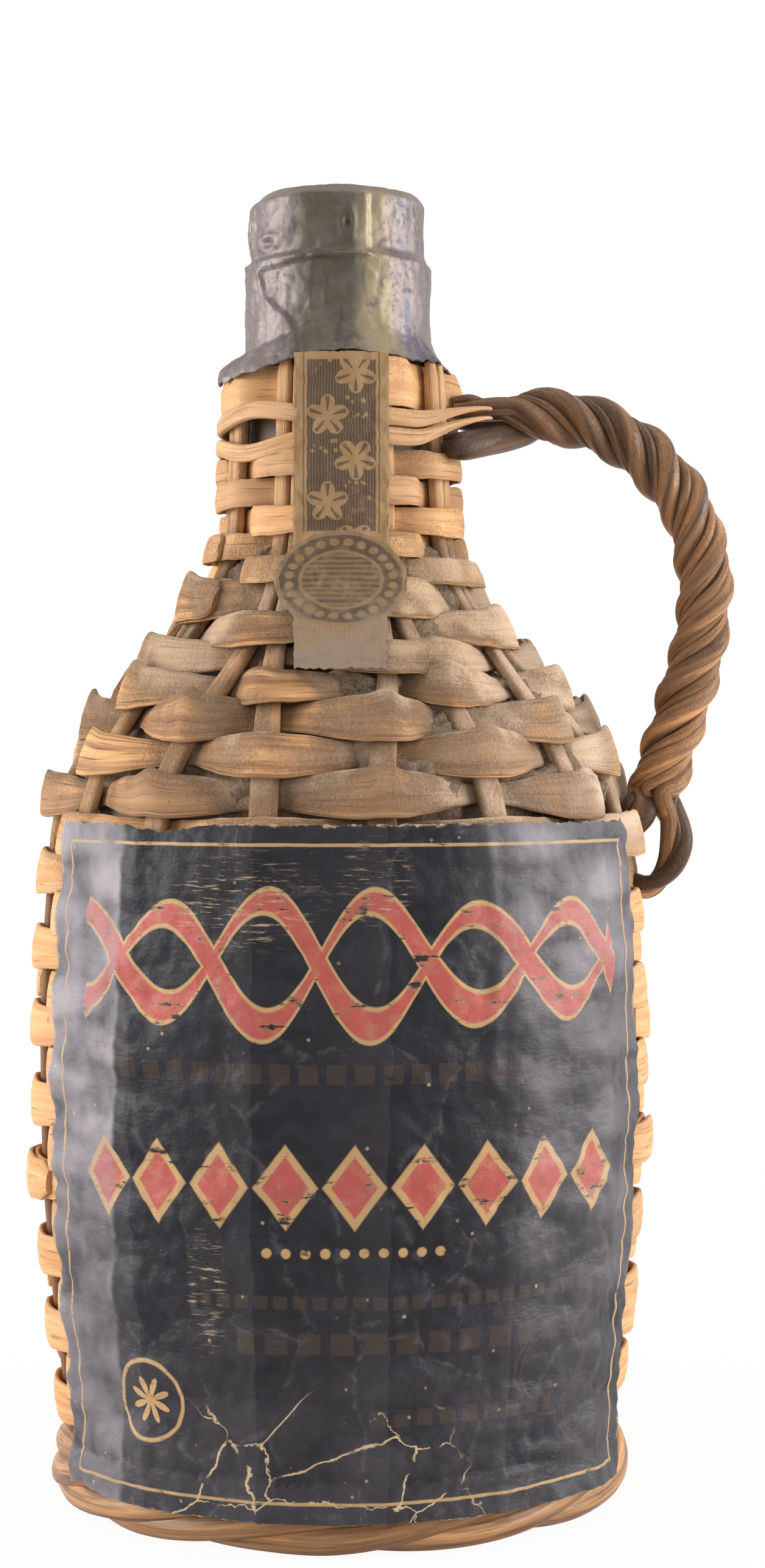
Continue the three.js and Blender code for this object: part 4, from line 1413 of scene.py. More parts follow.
@dataclass(frozen=True)
class Jacket:
    """The woven wicker: stakes, strips, wraps, base mat and foot."""

    weave: Weave
    front_offset: float = 4.6
    back_offset: float = 0.85
    strip_thickness: float = 0.95
    crown: float = 0.30
    stake_thickness: float = 2.2
    wrap_offset: float = 4.9
    wrap_thickness: float = 1.7
    wrap_opening: float = math.radians(14)
    lens_angle: float = math.radians(-46)
    mat_radius: float = 39.9
    mat_thickness: float = 3.0
    foot_radius: float = 47.4
    foot_height: float = 5.1
    foot_turns: int = 3
    foot_swing: float = 2.75
    foot_half_height: float = 2.4
    foot_half_depth: float = 1.5
    foot_lean: float = 0.22
    seal_reach: float = 61.0

    def build(self) -> None:
        """Builds every piece of the wicker from the foot up."""
        self._mat()
        self._foot()
        for stake in range(self.weave.stakes):
            self._stake(stake)
        for row in self.weave.rows:
            self._strip(row)
        for place in range(2):
            self._wrap(place)

    def _stake(self, stake: int) -> None:
        """A split rod with a groove down its face, from under the glass to the top of the neck."""
        weave, line, mould = self.weave, self.weave.outline, Mould()
        length = weave.top + 3.0
        groove = 0.30 if wander(stake * 3.7, 1.3) > -0.15 else 0.06

        def place(u: float, v: float) -> Vector:
            """A point of the rod."""
            along = u * length
            across, out = rounded(v * FULL_TURN, 0.72)
            tip = 1 - 0.25 * ease(u, 0.985, 1.0)
            half = weave.width_at(along) / 2 * (1 + 0.10 * wander(along * 0.07, stake * 5.1)) * tip
            thick = self.stake_thickness / 2 * (1 - groove * bell(across, 0.1, 0.16) * (out > 0)) * tip
            sway = 0.35 * wander(along * 0.045, (stake // 2) * 9.7, 4.0) * ease(along, 30, 60)
            middle = weave.offset_at(along) + 0.12 * wander(along * 0.12, stake * 2.2)
            radius = line.off(along, middle).x
            angle = weave.stake_angle(stake, along) + (across * half + sway) / radius
            return line.ring(along, middle + out * thick, angle)

        tone = 0.5 + 0.6 * wander(stake * 1.9, 7.7)

        def front(u: float, _: float) -> float:
            """Far back in the body's gaps, where little light falls."""
            return mix(0.02, 0.45, ease(u * length, weave.body_end - 14, weave.body_end))

        mould.sheet(170, 18, place, lambda u, v: (u * length, v * 11), tone, front)
        mould.close()
        node = f"stake_{stake + 1:02d}"
        mould.hand_over(f"rod_{node}", [node], Body.BOTTLE, Slot.ROD, ROD)

    def _overlap(self, row: Row) -> tuple[float, float]:
        """Where a strip starts and how far past a full turn it runs.

        Args:
            row: The strip's row.

        Returns:
            The angle of the start, behind a stake, and the length of the overlap.
        """
        count = len(row.crossings)
        wanted = math.radians(150 + 95 * math.sin(row.index * 2.4))
        behind = [place for place in range(count) if (place + row.index) % 2 == 1]
        start = min(behind, key=lambda place: abs(turn_difference(row.crossings[place], wanted)))
        gap = turn_difference(row.crossings[(start + 1) % count], row.crossings[start])
        return row.crossings[start], gap * (1.45 + 0.5 * wander(row.index * 4.4))

    def strip_lift(self, row: Row, angle: float) -> float:
        """The distance from the glass to the middle of a strip."""
        swing, near = row.swing(angle)
        middle, reach = (self.front_offset + self.back_offset) / 2, (self.front_offset - self.back_offset) / 2
        return middle + reach * swing + (1 - near) * (0.25 + 0.3 * wander(angle * 2.3, row.index * 3.1))

    def _strip(self, row: Row) -> None:
        """A flat splint that runs once round, over and under the stakes, and lies over its own start."""
        line, mould, seed, style = self.weave.outline, Mould(), row.index * 7.31, row.style
        first, overlap = self._overlap(row)
        span = FULL_TURN + overlap
        under_seal = row.end > self.weave.top - self.seal_reach
        reach = line.off(row.middle, self.front_offset).x

        def place(u: float, v: float) -> Vector:
            """A point of the splint."""
            angle = first + u * span
            near = row.swing(angle)[1]
            free = 1 - under_seal * ease(abs(turn_difference(angle, 0.03)) * reach, 18.0, 10.0)
            across, out = rounded(v * FULL_TURN, 0.38)
            slim = style.pinch * ease(near, 0.15, 0.95)
            slim -= (0.05 + 0.06 * style.loose) * wander(angle * 1.7, seed)
            half = row.width * (style.broad - slim) + style.widened
            half += 0.22 * wander(angle * 13, seed + 70, across)
            half *= 1 - 0.45 * ease(u, 0.994, 1.0)
            over = ease(u * span, FULL_TURN - 0.04, FULL_TURN + 0.10) * (self.strip_thickness + 0.1)
            bow = 1 - near
            lift = self.strip_lift(row, angle) - style.tilt * across
            lift += self.crown * (1 - across * across) * bow
            twist = style.loose * 0.5 * across * wander(angle * 1.9, seed + 40)
            lift += (twist + style.proud * bow) * free - style.tucked * ease(across, 0.0, 1.0)
            drift = style.raised + (0.1 + 0.8 * style.loose) * wander(angle * 1.3, seed + 20)
            peak = style.fold * (0.8 + 0.9 * wander(angle * 1.1, seed + 60)) * free
            rise = half * across + peak * (1 + across) / 2 * bell(near, 0.0, 0.12)
            thick = self.strip_thickness / 2 * (1 - 0.2 * abs(across) ** 3)
            level = max(lift, 0.7) + over + out * thick
            return line.band(row.middle + drift, level, rise, style.stand * bow * free, angle)

        def front(u: float, v: float) -> float:
            """How far the splint stands before the stakes, less towards its upper edge; the finish paints
            shade where it is low.
            """
            return (1 - row.swing(first + u * span)[1]) * (0.82 - 0.18 * math.cos(v * FULL_TURN))

        length = span * reach
        tone = clamp(0.5 + 1.1 * wander(row.index * 2.7, 3.3))
        columns = round(21 * len(row.crossings) * span / FULL_TURN)
        mould.sheet(columns, 16, place, lambda u, v: (u * length, v * row.width * 2.3), tone, front)
        mould.close()
        mould.hand_over(f"splint_{row.name}", [row.name], Body.BOTTLE, Slot.SPLINT, style.finish, 44.0)

    def _wrap(self, place_index: int) -> None:
        """A flat cane bound round the neck, open at the handle, that parts from its neighbour in front."""
        line, mould, start = self.weave.outline, Mould(), self.weave.wraps[place_index]
        first, span = math.pi / 2 + self.wrap_opening, FULL_TURN - 2 * self.wrap_opening
        parting, tail_rise = ((-2.4, 4.2), (1.3, 2.3))[place_index]

        def place(u: float, v: float) -> Vector:
            """A point of the cane."""
            angle = first + u * span
            across, out = rounded(v * FULL_TURN, 0.7)
            half = self.weave.wrap_width / 2 * (1.02 + 0.12 * wander(angle * 2.2, place_index * 8.0))
            open_up = bell(turn_difference(angle, self.lens_angle), 0.0, 0.42) * parting
            tail = ease(u, 0.88, 1.0)
            half *= 1 - 0.8 * tail
            drift = open_up + 0.35 * wander(angle * 1.5, 5.0 + place_index * 3.0) + tail_rise * tail
            groove = 1 - 0.28 * bell(across, -0.1, 0.2) * (out > 0)
            thick = self.wrap_thickness / 2 * groove * (1 - 0.5 * tail)
            lift = self.wrap_offset + 0.25 * wander(angle * 2.9, 11.0 + place_index) + 6.2 * tail ** 2
            along = start + self.weave.wrap_width / 2 + drift + half * across
            return line.ring(along, lift + out * thick, angle)

        length = span * line.off(start, self.wrap_offset).x
        mould.sheet(220, 18, place, lambda u, v: (u * length, v * 8), 0.45 + 0.15 * place_index)
        mould.close()
        node = ("lower_neck_wrap", "upper_neck_wrap")[place_index]
        mould.hand_over(f"cane_{node}", [node], Body.BOTTLE, Slot.ROD, ROD)

    def _mat(self) -> None:
        """The woven floor: spokes with rounds that pass over and under them."""
        mould, rounds, spokes = Mould(), 9, 24
        rim = self.mat_radius

        def place(u: float, v: float) -> Vector:
            """A point of the floor, from the middle of its underside over the rim to that of its top."""
            angle = u * FULL_TURN
            under = v < 0.5
            share = clamp(v / 0.46 if under else (1 - v) / 0.46)
            radius = rim * share
            step = share * rounds
            over = math.cos(spokes / 2 * angle + math.pi * math.floor(step))
            hump = abs(math.sin(math.pi * step)) ** 0.6
            height = 0.75 * (1 - hump * (0.65 + 0.35 * over)) * ease(1 - share, 0.0, 0.05)
            if not under:
                height = self.mat_thickness - height
            if share >= 1:
                height = mix(0.0, self.mat_thickness, clamp((v - 0.46) / 0.08))
                radius += 0.5 * math.sin(math.pi * height / self.mat_thickness)
            return polar(radius, angle, height)

        mould.sheet(240, 150, place, lambda u, v: (u * 180, v * 90), 0.3)
        mould.close()
        mould.hand_over("woven_mat", ["base_mat"], Body.BOTTLE, Slot.SPLINT, SPLINT)

    def _foot(self) -> None:
        """Four rods twisted round the bottom edge, two for each rod of the model."""
        for half, node in enumerate(("lower_foot_rod", "upper_foot_rod")):
            mould = Mould()
            for rod in (half, half + 2):
                self._foot_rod(mould, rod)
            mould.close()
            mould.hand_over(f"wale_{node}", [node], Body.BOTTLE, Slot.FOOT_ROD, FOOT_ROD)

    def _foot_rod(self, mould: Mould, rod: int) -> None:
        """One rod of the foot, which climbs, passes behind the others and comes down again."""

        def place(u: float, v: float) -> Vector:
            """A point of the rod."""
            angle = (u + 0.5) * FULL_TURN
            turn = self.foot_turns * angle + rod * FULL_TURN / 4 + 2.0
            turn += 0.5 * wander(1.7 * math.sin(angle), 1.7 * math.cos(angle), rod * 5.0)
            swell = 1 + 0.12 * wander(3 * math.sin(angle), 3 * math.cos(angle), rod * 3.0 + 20)
            across, out = math.cos(v * FULL_TURN), math.sin(v * FULL_TURN)
            climb = self.foot_swing * math.sin(turn) + self.foot_half_height * swell * across
            height = self.foot_height + climb
            radius = self.foot_radius + math.cos(turn) + self.foot_half_depth * swell * out
            radius -= self.foot_lean * climb
            return polar(radius, angle, max(height, 0.02))

        # The front layer is low on the lower, inner side of each rod, which the finish paints as shade.
        mould.sheet(420, 14, place, lambda u, v: (u * 300, v * 12), 0.35 + 0.12 * rod,
                    lambda u, v: 0.55 + 0.45 * math.cos(v * FULL_TURN - 0.6))


@dataclass(frozen=True)
class ShoulderDust:
    """The fluff that lies in the hollows of the weave on the shoulder."""

    weave: Weave
    low: float = 113.0
    high: float = 166.0
    depth: float = 3.5
    thickness: float = 0.2

    def build(self) -> None:
        """Lays the fluff round the shoulder."""
        mould = Mould()
        mould.sheet(300, 90, self.place, lambda u, v: (u * 200, v * 60))
        mould.join()
        mould.thicken(self.thickness)
        mould.hand_over("shoulder_dust", [], Body.BOTTLE, Slot.SPLINT, DUST_FELT, 80.0, False)

    def place(self, u: float, v: float) -> Vector:
        """A point of the fluff, which sinks into the glass where none lies."""
        outline, angle = self.weave.outline, u * FULL_TURN
        along = mix(outline.along_at(self.low), outline.along_at(self.high), v)
        spot = outline.ring(along, 2.0, angle)
        heap = noise.noise(spot * 0.085) + 0.45 * noise.noise(spot * 0.27) + 0.30 * clamp(spot.x / 30, -1, 1)
        tuft = 0.9 * noise.noise(spot * 0.8) + 0.5 * noise.noise(spot * 1.9)
        lies = ease(heap, -0.40, 0.45) * ease(v, 0.0, 0.10) * ease(v, 1.0, 0.85)
        return outline.ring(along, (self.depth + tuft) * lies - 0.4, angle)


@dataclass(frozen=True)
class Handle:
    """Three strands of a thick and a thin cane each, laid up into a rope from the neck to the shoulder."""

    weave: Weave
    strand_radius: float = 2.0
    gap: float = 0.3
    turns: float = 3.638
    first_turn: float = math.radians(-43)
    standoff: float = 10.6
    fullness: float = 21.0
    arch: float = 2.8
    bend_drop: float = 26.0
    foot_rise: float = 8.0
    low_turn: float = math.radians(27)
    high_turn: float = math.radians(5)
    foot_away: float = 3.9
    loop: tuple[tuple[float, float], ...] = (
        (1.0, 6.7), (5.3, 7.1), (9.5, 6.5), (12.6, 4.4), (14.0, 1.6), (13.6, -1.0), (13.0, -3.3))
    tuck: tuple[tuple[float, float], ...] = ((-0.7, 1.5), (1.5, -0.4), (3.2, -2.4))
    jacket_offset: float = 5.1
    wrap_reach: float = 5.7
    half_out: float = 2.25
    half_across: float = 2.0
    thin: float = 0.5
    laid_end: float = 0.97

    @property
    def spacing(self) -> float:
        """The distance from the rope's line to a cane's middle."""
        return 1.22 * (self.strand_radius + self.gap)

    @cached_property
    def line(self) -> list[Vector]:
        """Even points along the rope's middle line, in the plane of the handle."""
        outline = self.weave.outline
        neck, wrap = outline.off(self.weave.wraps[1], self.wrap_reach).x, outline.on(self.weave.wraps[1]).y
        reach, bend = outline.belly_radius + self.jacket_offset + self.standoff, wrap - self.bend_drop
        foot = self._beside(outline.shoulder_bottom + self.foot_rise, self.foot_away, 0.0)

        def flat(x: float, z: float) -> Vector:
            """A point in the plane of the handle."""
            return Vector((x, 0, z))

        first = interpolate_bezier(
            flat(neck + self.spacing + self.strand_radius, wrap + self.strand_radius),
            flat(neck + self.fullness, wrap + self.fullness / 3 + self.arch),
            flat(reach, bend + self.fullness), flat(reach, bend), 120)
        second = interpolate_bezier(
            flat(reach, bend), flat(reach, bend - self.fullness * 0.6),
            flat(foot.x + 4.0, foot.z + self.fullness * 0.7), foot, 120)
        return spread([*first, *second[1:]], 240)

    def _beside(self, height: float, away: float, turn: float) -> Vector:
        """A point beside the jacket at a height, moved out from its outermost face."""
        outline = self.weave.outline
        radius = outline.off(outline.along_at(height), self.jacket_offset).x + away
        return Vector((radius * math.cos(turn), radius * math.sin(turn), height))

    def _laid(self, strand: int, side: int, share: float) -> tuple[Vector, Vector]:
        """A cane's middle on the rope, and the way out from the rope's line."""
        place = share * (len(self.line) - 1)
        index = min(int(place), len(self.line) - 2)
        middle = self.line[index].lerp(self.line[index + 1], place - index)
        tangent = (self.line[index + 1] - self.line[index]).normalized()
        inward = Vector((tangent.z, 0, -tangent.x))
        turn = self._turn(strand, side, share)
        out = inward * math.cos(turn) + Vector((0, math.sin(turn), 0))
        loose = 1 + 0.20 * wander(share * 6.0, strand * 2.0 + side * 0.2, 8.0) + (0.12 if side > 0 else 0.0)
        return middle + out * self.spacing * loose, out

    def _turn(self, strand: int, side: int, share: float) -> float:
        """How far a cane has turned round the rope's line, in radians."""
        lay = 0.115 + 0.05 * wander(share * 5.0, strand * 3.0, 21.0) if side > 0 else -0.035
        return FULL_TURN * (self.turns * share * (0.9 + 0.1 * share) + strand / 3 + lay) + self.first_turn

    def _ends(self, strand: int, side: int) -> tuple[list[Vector], list[Vector]]:
        """Where a cane meets the neck, and where it meets the shoulder or loops down beside it."""
        weave, outline = self.weave, self.weave.outline
        low, band = outline.on(weave.wraps[0]).y + 1.5, outline.on(weave.band_start + weave.top_band / 2).y
        seat, foot = self.gap + 0.25, outline.shoulder_bottom + self.foot_rise
        seats = ((low, -self.low_turn), (band - 1.0, 2 * self.high_turn), (band, -self.high_turn))
        height, turn = seats[strand]
        root = [self._beside(height + 0.9 * side, away, turn)
                for away in (seat - 1.2, seat + self.strand_radius)]
        if strand == 2:
            return root, [self._beside(foot - drop + 0.9 * side, away - 0.9 * side, -self.high_turn / 2)
                          for drop, away in self.tuck]
        middles = [self.line[-1], *(self._beside(foot - drop, away, 0.0) for drop, away in self.loop)]
        start, tail = self._turn(strand, side, self.laid_end), []
        for place, (before, middle) in enumerate(zip(middles, middles[1:])):
            run = (middle - before).normalized()
            turn, reach = start + math.radians(40) * (place + 1), mix(1.8, 0.9, place / len(self.loop))
            tail.append(middle + Vector((run.z, 0, -run.x)) * math.cos(turn) * reach
                        + Vector((0, math.sin(turn) * reach, 0)))
        return root, tail

    def build(self) -> None:
        """Sweeps each grooved strand along its path."""
        for strand in range(3):
            self._strand(strand)

    def _strand(self, strand: int) -> None:
        """One strand of two canes."""
        mould = Mould()
        for side in (-1, 1):
            self._cane(mould, strand, side)
        mould.close()
        node = f"handle_strand_{strand + 1}"
        mould.hand_over(f"cane_{node}", [node], Body.BOTTLE, Slot.CANE, CANE)

    def _cane(self, mould: Mould, strand: int, side: int) -> None:
        """One cane of a strand: a tube with shallow grooves."""
        root, tail = self._ends(strand, side)
        laid = [self._laid(strand, side, mix(0.05, self.laid_end, step / 40)) for step in range(41)]
        seed = strand * 2.0 + side
        knots = [*root, *[point for point, _ in laid], *tail]
        outs = [laid[0][1]] * len(root) + [out for _, out in laid] + [laid[-1][1]] * len(tail)
        steps = 330
        path = smooth_line(knots, steps)
        marks = knot_marks(knots)
        length, leave = marks[-1], marks[len(root) + len(laid) - 1]
        thinned = 0.0 if strand == 2 else 0.32
        grooves = [(-0.70 + 0.4 * wander(seed * 3.0, 1.0), 0.08), (0.50 + 0.4 * wander(seed, 5.0), 0.13)]
        full = self.thin if side > 0 else 1.0

        def frame_at(step: int) -> tuple[Vector, Vector, Vector]:
            """The middle, the way out and the way across at a step of the path."""
            ahead, behind = path[min(step + 1, steps)], path[max(step - 1, 0)]
            run = (ahead - behind).normalized()
            along = length * step / steps
            place = stretch(marks, along)
            share = (along - marks[place - 1]) / (marks[place] - marks[place - 1])
            out = outs[place - 1].lerp(outs[place], clamp(share))
            out = (out - run * out.dot(run)).normalized()
            return path[step], out, run.cross(out)

        frames = [frame_at(step) for step in range(steps + 1)]

        def place(u: float, v: float) -> Vector:
            """A point of the strand."""
            step = round(u * steps)
            middle, out, across = frames[step]
            turn = v * FULL_TURN - math.pi
            shrink = 1 - 0.30 * (1 - ease(u, 0.0, 0.03)) - 0.10 * ease(u, 0.97, 1.0)
            shrink -= thinned * ease(u * length, leave - 3, leave + 10)
            drift = 0.25 * wander(u * 9.0, seed * 6.0)
            cut = sum(depth * bell(turn, groove + drift, 0.13) for groove, depth in grooves)
            size = full * shrink * (1 + 0.16 * wander(u * 16.0, seed * 4.0, 2.0)) * (1 - cut)
            return middle + out * (math.cos(turn) * self.half_out * size) + across * (
                math.sin(turn) * self.half_across * size)

        def front(u: float, v: float) -> float:
            """1 on the outside of the rope, where the finish paints a highlight, less in its grooves, which
            it paints as shade, and less on its dark upper part.
            """
            return clamp(0.2 + 1.1 * math.cos(v * FULL_TURN - math.pi)) * mix(0.35, 1.0, ease(u, 0.22, 0.62))

        tone = 0.5 + 0.3 * wander(seed * 1.7, 2.2)
        mould.sheet(steps, 32, place, lambda u, v: (u * length, v * 12.5 * full), tone, front)


def knot_marks(knots: list[Vector]) -> list[float]:
    """The distance along a chain of knots at each of them."""
    marks = [0.0]
    for first, second in zip(knots, knots[1:]):
        marks.append(marks[-1] + (second - first).length)
    return marks


def spread(points: list[Vector], count: int) -> list[Vector]:
    """Points evenly spaced along a chain of points.

    Args:
        points: The chain.
        count: How many steps to take along it.

    Returns:
        One point more than the steps.
    """
    marks = knot_marks(points)
    found = []
    for step in range(count + 1):
        along = marks[-1] * step / count
        place = stretch(marks, along)
        share = (along - marks[place - 1]) / max(marks[place] - marks[place - 1], 1e-9)
        found.append(points[place - 1].lerp(points[place], clamp(share)))
    return found


def smooth_line(knots: list[Vector], count: int) -> list[Vector]:
    """Even points along a smooth curve through knots.

    Args:
        knots: What the curve passes through.
        count: How many steps to take along it.

    Returns:
        One point more than the steps.
    """
    fine = [knots[0]]
    for place, (first, second) in enumerate(zip(knots, knots[1:])):
        before, after = knots[max(place - 1, 0)], knots[min(place + 2, len(knots) - 1)]
        size = (second - first).length / 3
        leave = (second - before).normalized() * size
        arrive = (after - first).normalized() * size
        fine.extend(interpolate_bezier(first, first + leave, second - arrive, second, 10)[1:])
    return spread(fine, count)


@dataclass(frozen=True)
class FrontLabel:
    """The large paper label that is glued over the weave."""

    weave: Weave
    left: float = math.radians(-57)
    right: float = math.radians(63.6)
    bottom: float = 5.6
    height: float = 109.0
    thickness: float = 0.25
    jacket_offset: float = 5.1
    foot_reach: float = 49.85
    lift: float = 0.55
    ridge: float = 0.75

    def build(self) -> None:
        """Lays the paper over the rows, torn at its edges, and thickens it inwards."""
        mould = Mould()
        mould.sheet(200, 180, self.place, lambda u, v: (u * LABEL.width, self.rise(u, v)), 0.5, self.pressed)
        mould.thicken(self.thickness)
        mould.hand_over("paper_label", ["front_label"], Body.BOTTLE, Slot.LABEL_PAPER, LABEL, 80.0, False)

    def rise(self, u: float, v: float) -> float:
        """Height above the label's lower edge, between its torn edges."""
        torn_top = 0.9 * abs(wander(u * 26, 3.0)) + 0.5 * abs(wander(u * 80, 8.0)) + 1.1 * bell(u, 0.22, 0.06)
        torn_low = 0.4 * abs(wander(u * 22, 13.0)) + 0.3 * abs(wander(u * 70, 17.0))
        torn_low += 0.9 * bell(u, 0.03, 0.03)
        return mix(torn_low, self.height - torn_top, v)

    def pressed(self, u: float, v: float) -> float:
        """How far the strips under the paper push it out, from 0 to 1."""
        weave, height = self.weave, self.bottom + self.rise(u, v)
        if height <= weave.outline.heel_top:
            return 0.8
        angle, along = mix(self.left, self.right, u), weave.outline.along_at(height)
        pushed = 0.0
        place = int((along - weave.body_start) / (weave.rows[1].start - weave.rows[0].start))
        for row in weave.rows[max(place - 1, 0):place + 2]:
            away = abs(along - row.middle) / row.width
            if away < 0.9:
                pushed = max(pushed, (1 - row.swing(angle)[1]) ** 0.7 * (1 - (away / 0.9) ** 2))
        return pushed

    def place(self, u: float, v: float) -> Vector:
        """A point of the paper."""
        outline = self.weave.outline
        angle = mix(self.left, self.right, u)
        height = self.bottom + self.rise(u, v)
        ragged = 0.25 * wander(v * 30, 23.0) + 0.15 * wander(v * 90, 29.0)
        angle += ragged / 52 * (2 * u - 1)
        along = outline.along_at(max(height, outline.heel_top))
        base = max(outline.on(along).x + self.jacket_offset, self.foot_reach)
        x, y = u * LABEL.width, v * self.height
        side = 0.6 + 0.8 * ease(abs(2 * u - 1), 0.45, 0.95)
        pitch = FULL_TURN / self.weave.stakes
        stake = abs((angle - self.weave.first_stake + pitch / 2) % pitch - pitch / 2)
        crumple = 0.34 * wander(x * 0.07, y * 0.07, 2.0) + 0.50 * side * abs(wander(x * 0.10, y * 0.20, 6.0))
        crumple += 0.34 * side * abs(wander(x * 0.24 + y * 0.10, y * 0.16, 9.0))
        crumple += 0.16 * wander(x * 0.5, y * 0.5, 3.0)
        crumple += 0.5 * side * (0.3 - abs(wander(x * 0.05, y * 0.17, 14.0)))
        crumple += 0.35 * bell(stake * base, 0.0, 2.6)
        fold = 0.35 * bell(x + 2.2 * wander(y * 0.05, 4.0), 79, 1.3) * ease(y, 55, 75)
        edge = min(x, LABEL.width - x, y, self.height - y)
        curl = 0.35 * (1 - ease(edge, 0.0, 5.0)) * abs(wander(u * 9, v * 9, 31.0)) * 2
        radius = base + self.lift + self.thickness + self.ridge * self.pressed(u, v)
        radius += max(crumple, -0.1) + fold + curl
        return polar(radius, angle, height)


@dataclass(frozen=True)
class NeckSeal:
    """The narrow paper seal down the neck, with a disc near its lower end."""

    weave: Weave
    width: float = 16.0
    disc: float = 22.5
    disc_drop: float = 41.9
    tail_drop: float = 20.7
    top_rise: float = 3.8
    thickness: float = 0.2
    offset: float = 6.1
    shift: float = 0.6

    @property
    def length(self) -> float:
        """From the top of the strip to its lower end."""
        return self.disc_drop + self.tail_drop

    def half_width(self, drop: float) -> float:
        """Half the seal's width at a distance from its top."""
        from_disc = min(abs(drop - self.disc_drop), self.disc / 2)
        round_half = math.sqrt((self.disc / 2) ** 2 - from_disc ** 2)
        worn = (0.5 + 0.9 * abs(wander(drop * 0.5, 3.0))) * ease(drop, self.disc_drop, self.length)
        return max(self.width / 2 - worn, round_half)

    def chart(self, u: float, v: float) -> tuple[float, float]:
        """Place across from the middle and place down from the top."""
        drop = v * self.length
        return (2 * u - 1) * self.half_width(drop), drop

    def place(self, u: float, v: float) -> Vector:
        """A point of the paper."""
        weave = self.weave
        ragged = (0.8 * abs(wander(u * 9, 41.0)) + 0.5 * abs(wander(u * 23, 43.0))) * ease(v, 0.9, 1.0)
        ragged -= 0.35 * abs(wander(u * 12, 47.0)) * (1 - ease(v, 0.0, 0.05))
        across, drop = self.chart(u, v)
        across += 0.18 * wander(drop * 0.9, u * 2, 51.0)
        along = weave.top - weave.tip_proud + self.top_rise - drop + ragged
        ripple = 0.28 * wander(across * 0.22, drop * 0.25, 3.0)
        ripple += 0.15 * math.sin(drop * 0.98 + across * 0.05)
        near_edge = ease(abs(across) / self.half_width(drop), 0.8, 1.0)
        ripple += 0.5 * near_edge * abs(wander(across, drop * 0.3, 61.0))
        offset = self.offset + max(ripple, -0.25) + self.thickness + 0.15 * ease(drop, 34, 44)
        radius = weave.outline.off(along, offset).x
        return weave.outline.ring(along, offset, (across + self.shift) / radius)

    def build(self) -> None:
        """Lays the paper down the neck and thickens it inwards."""
        mould = Mould()
        mould.sheet(64, 170, self.place, self.chart)
        mould.thicken(self.thickness)
        mould.hand_over("paper_seal", ["neck_seal"], Body.BOTTLE, Slot.SEAL_PAPER, SEAL, 80.0, False)


@dataclass(frozen=True)
class StageFinish(Finish):
    """Pale floor that the camera sees as white, less so near the bottle, where it keeps the shadow."""

    name: str = "stage_finish"
    pale: Colour = (0.86, 0.86, 0.86, 1.0)
    glow: float = 0.94

    def paint(self, bench: Bench) -> None:
        """Mixes plain diffuse with white where the camera, metal or glass looks at it."""
        seen = bench.seen()
        plain = bench.node("ShaderNodeBsdfDiffuse", None, {"Color": self.pale})
        white = bench.node("ShaderNodeEmission", None, {"Color": WHITE, "Strength": 1.0})
        away = bench.node("ShaderNodeVectorMath", {"operation": "LENGTH"}, {0: bench.object_mm()})
        glow = away.out("Value").step(70.0, 320.0) * (1.0 - self.glow) + self.glow
        both = bench.node("ShaderNodeMixShader", None, {0: seen * glow, 1: plain, 2: white})
        bench.node("ShaderNodeOutputMaterial", None, {"Surface": both})


@dataclass(frozen=True)
class Lamp:
    """A soft area lamp that looks at the bottle."""

    name: str
    place: tuple[float, float, float]
    size: float
    watts: float
    aim: tuple[float, float, float] = (0.0, 0.0, 0.11)

    def build(self) -> None:
        """Adds the lamp to the scene."""
        light = bpy.data.lights.new(self.name, "AREA")
        light.shape, light.size, light.energy = "DISK", self.size, self.watts
        lamp = add_object(self.name, light)
        lamp.location = self.place
        lamp.rotation_euler = (Vector(self.aim) - Vector(self.place)).to_track_quat("-Z", "Y").to_euler()


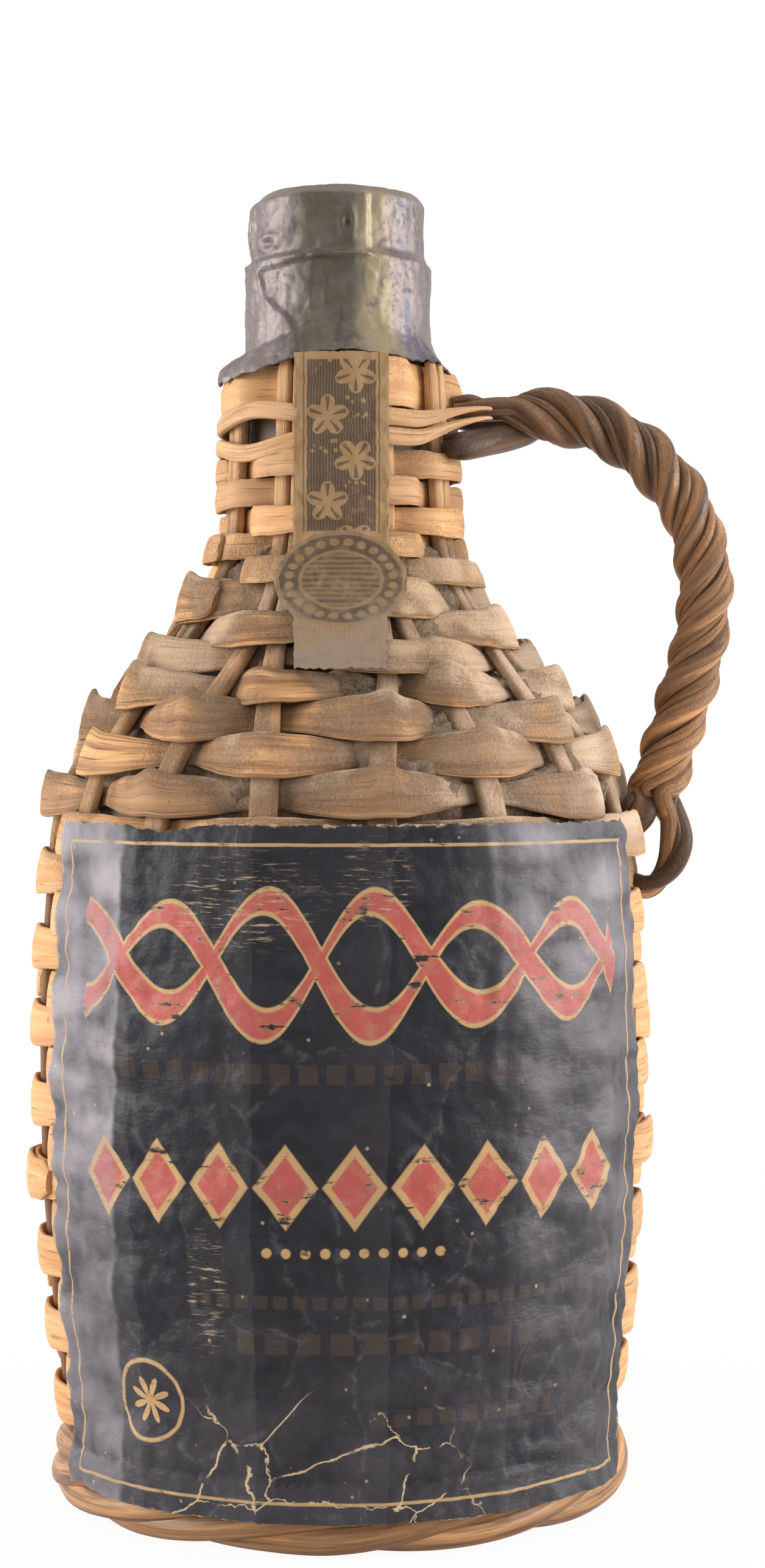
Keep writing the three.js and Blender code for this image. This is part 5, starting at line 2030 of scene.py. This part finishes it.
@dataclass(frozen=True)
class Studio:
    """The camera at the photograph's angle, soft lamps, white surroundings and a pale floor."""

    camera_place: tuple[float, float, float] = (0.0074, -0.451, 0.1262)
    camera_dip: float = math.radians(0.783)
    lens: float = 59.35
    surround: float = 0.27
    lamps: tuple[Lamp, ...] = (
        Lamp("left_lamp", (-1.0, -0.14, 0.32), 0.8, 12.4),
        Lamp("right_lamp", (1.0, -0.14, 0.32), 0.8, 13.6),
        Lamp("front_lamp", (-0.25, -1.2, 0.55), 0.6, 1.4),
        Lamp("top_lamp", (0.0, -0.1, 1.15), 0.8, 3.5),
    )

    def build(self) -> None:
        """Builds the whole stage."""
        self._camera()
        for lamp in self.lamps:
            lamp.build()
        self._world()
        self._floor()
        bpy.context.scene.view_settings.view_transform = "Standard"

    def _camera(self) -> None:
        """Sets the camera."""
        data = bpy.data.cameras.new("camera")
        data.lens, data.sensor_width, data.clip_start = self.lens, 36.0, 0.01
        camera = add_object("camera", data)
        camera.location = self.camera_place
        camera.rotation_euler = (math.pi / 2 - self.camera_dip, 0.0, 0.0)
        bpy.context.scene.camera = camera

    def _world(self) -> None:
        """White surroundings to look at, and an even grey light from them."""
        world = bpy.data.worlds.new("surround")
        bpy.context.scene.world = world
        bench = Bench(world)
        seen = bench.seen()
        feeds = {"Color": WHITE, "Strength": seen * (1.0 - self.surround) + self.surround}
        back = bench.node("ShaderNodeBackground", None, feeds)
        bench.node("ShaderNodeOutputWorld", None, {"Surface": back})

    def _floor(self) -> None:
        """A wide floor under the bottle."""
        mesh = bpy.data.meshes.new("floor")
        flat = bmesh.new()
        bmesh.ops.create_grid(flat, x_segments=1, y_segments=1, size=4.0)
        flat.to_mesh(mesh)
        flat.free()
        mesh.materials.append(StageFinish().material())
        add_object("floor", mesh)


def main() -> None:
    """Builds the stage and every piece of the bottle in order."""
    logging.basicConfig(level=logging.INFO, format="%(name)s %(message)s")
    outline = Outline()
    weave = Weave(outline)
    for part in (Studio(), GlassBottle(outline), Stopper(outline), Capsule(outline), Jacket(weave),
                 ShoulderDust(weave), Handle(weave), FrontLabel(weave), NeckSeal(weave)):
        part.build()
        LOG.info("%s is built", type(part).__name__)


if __name__ == "__main__":
    main()
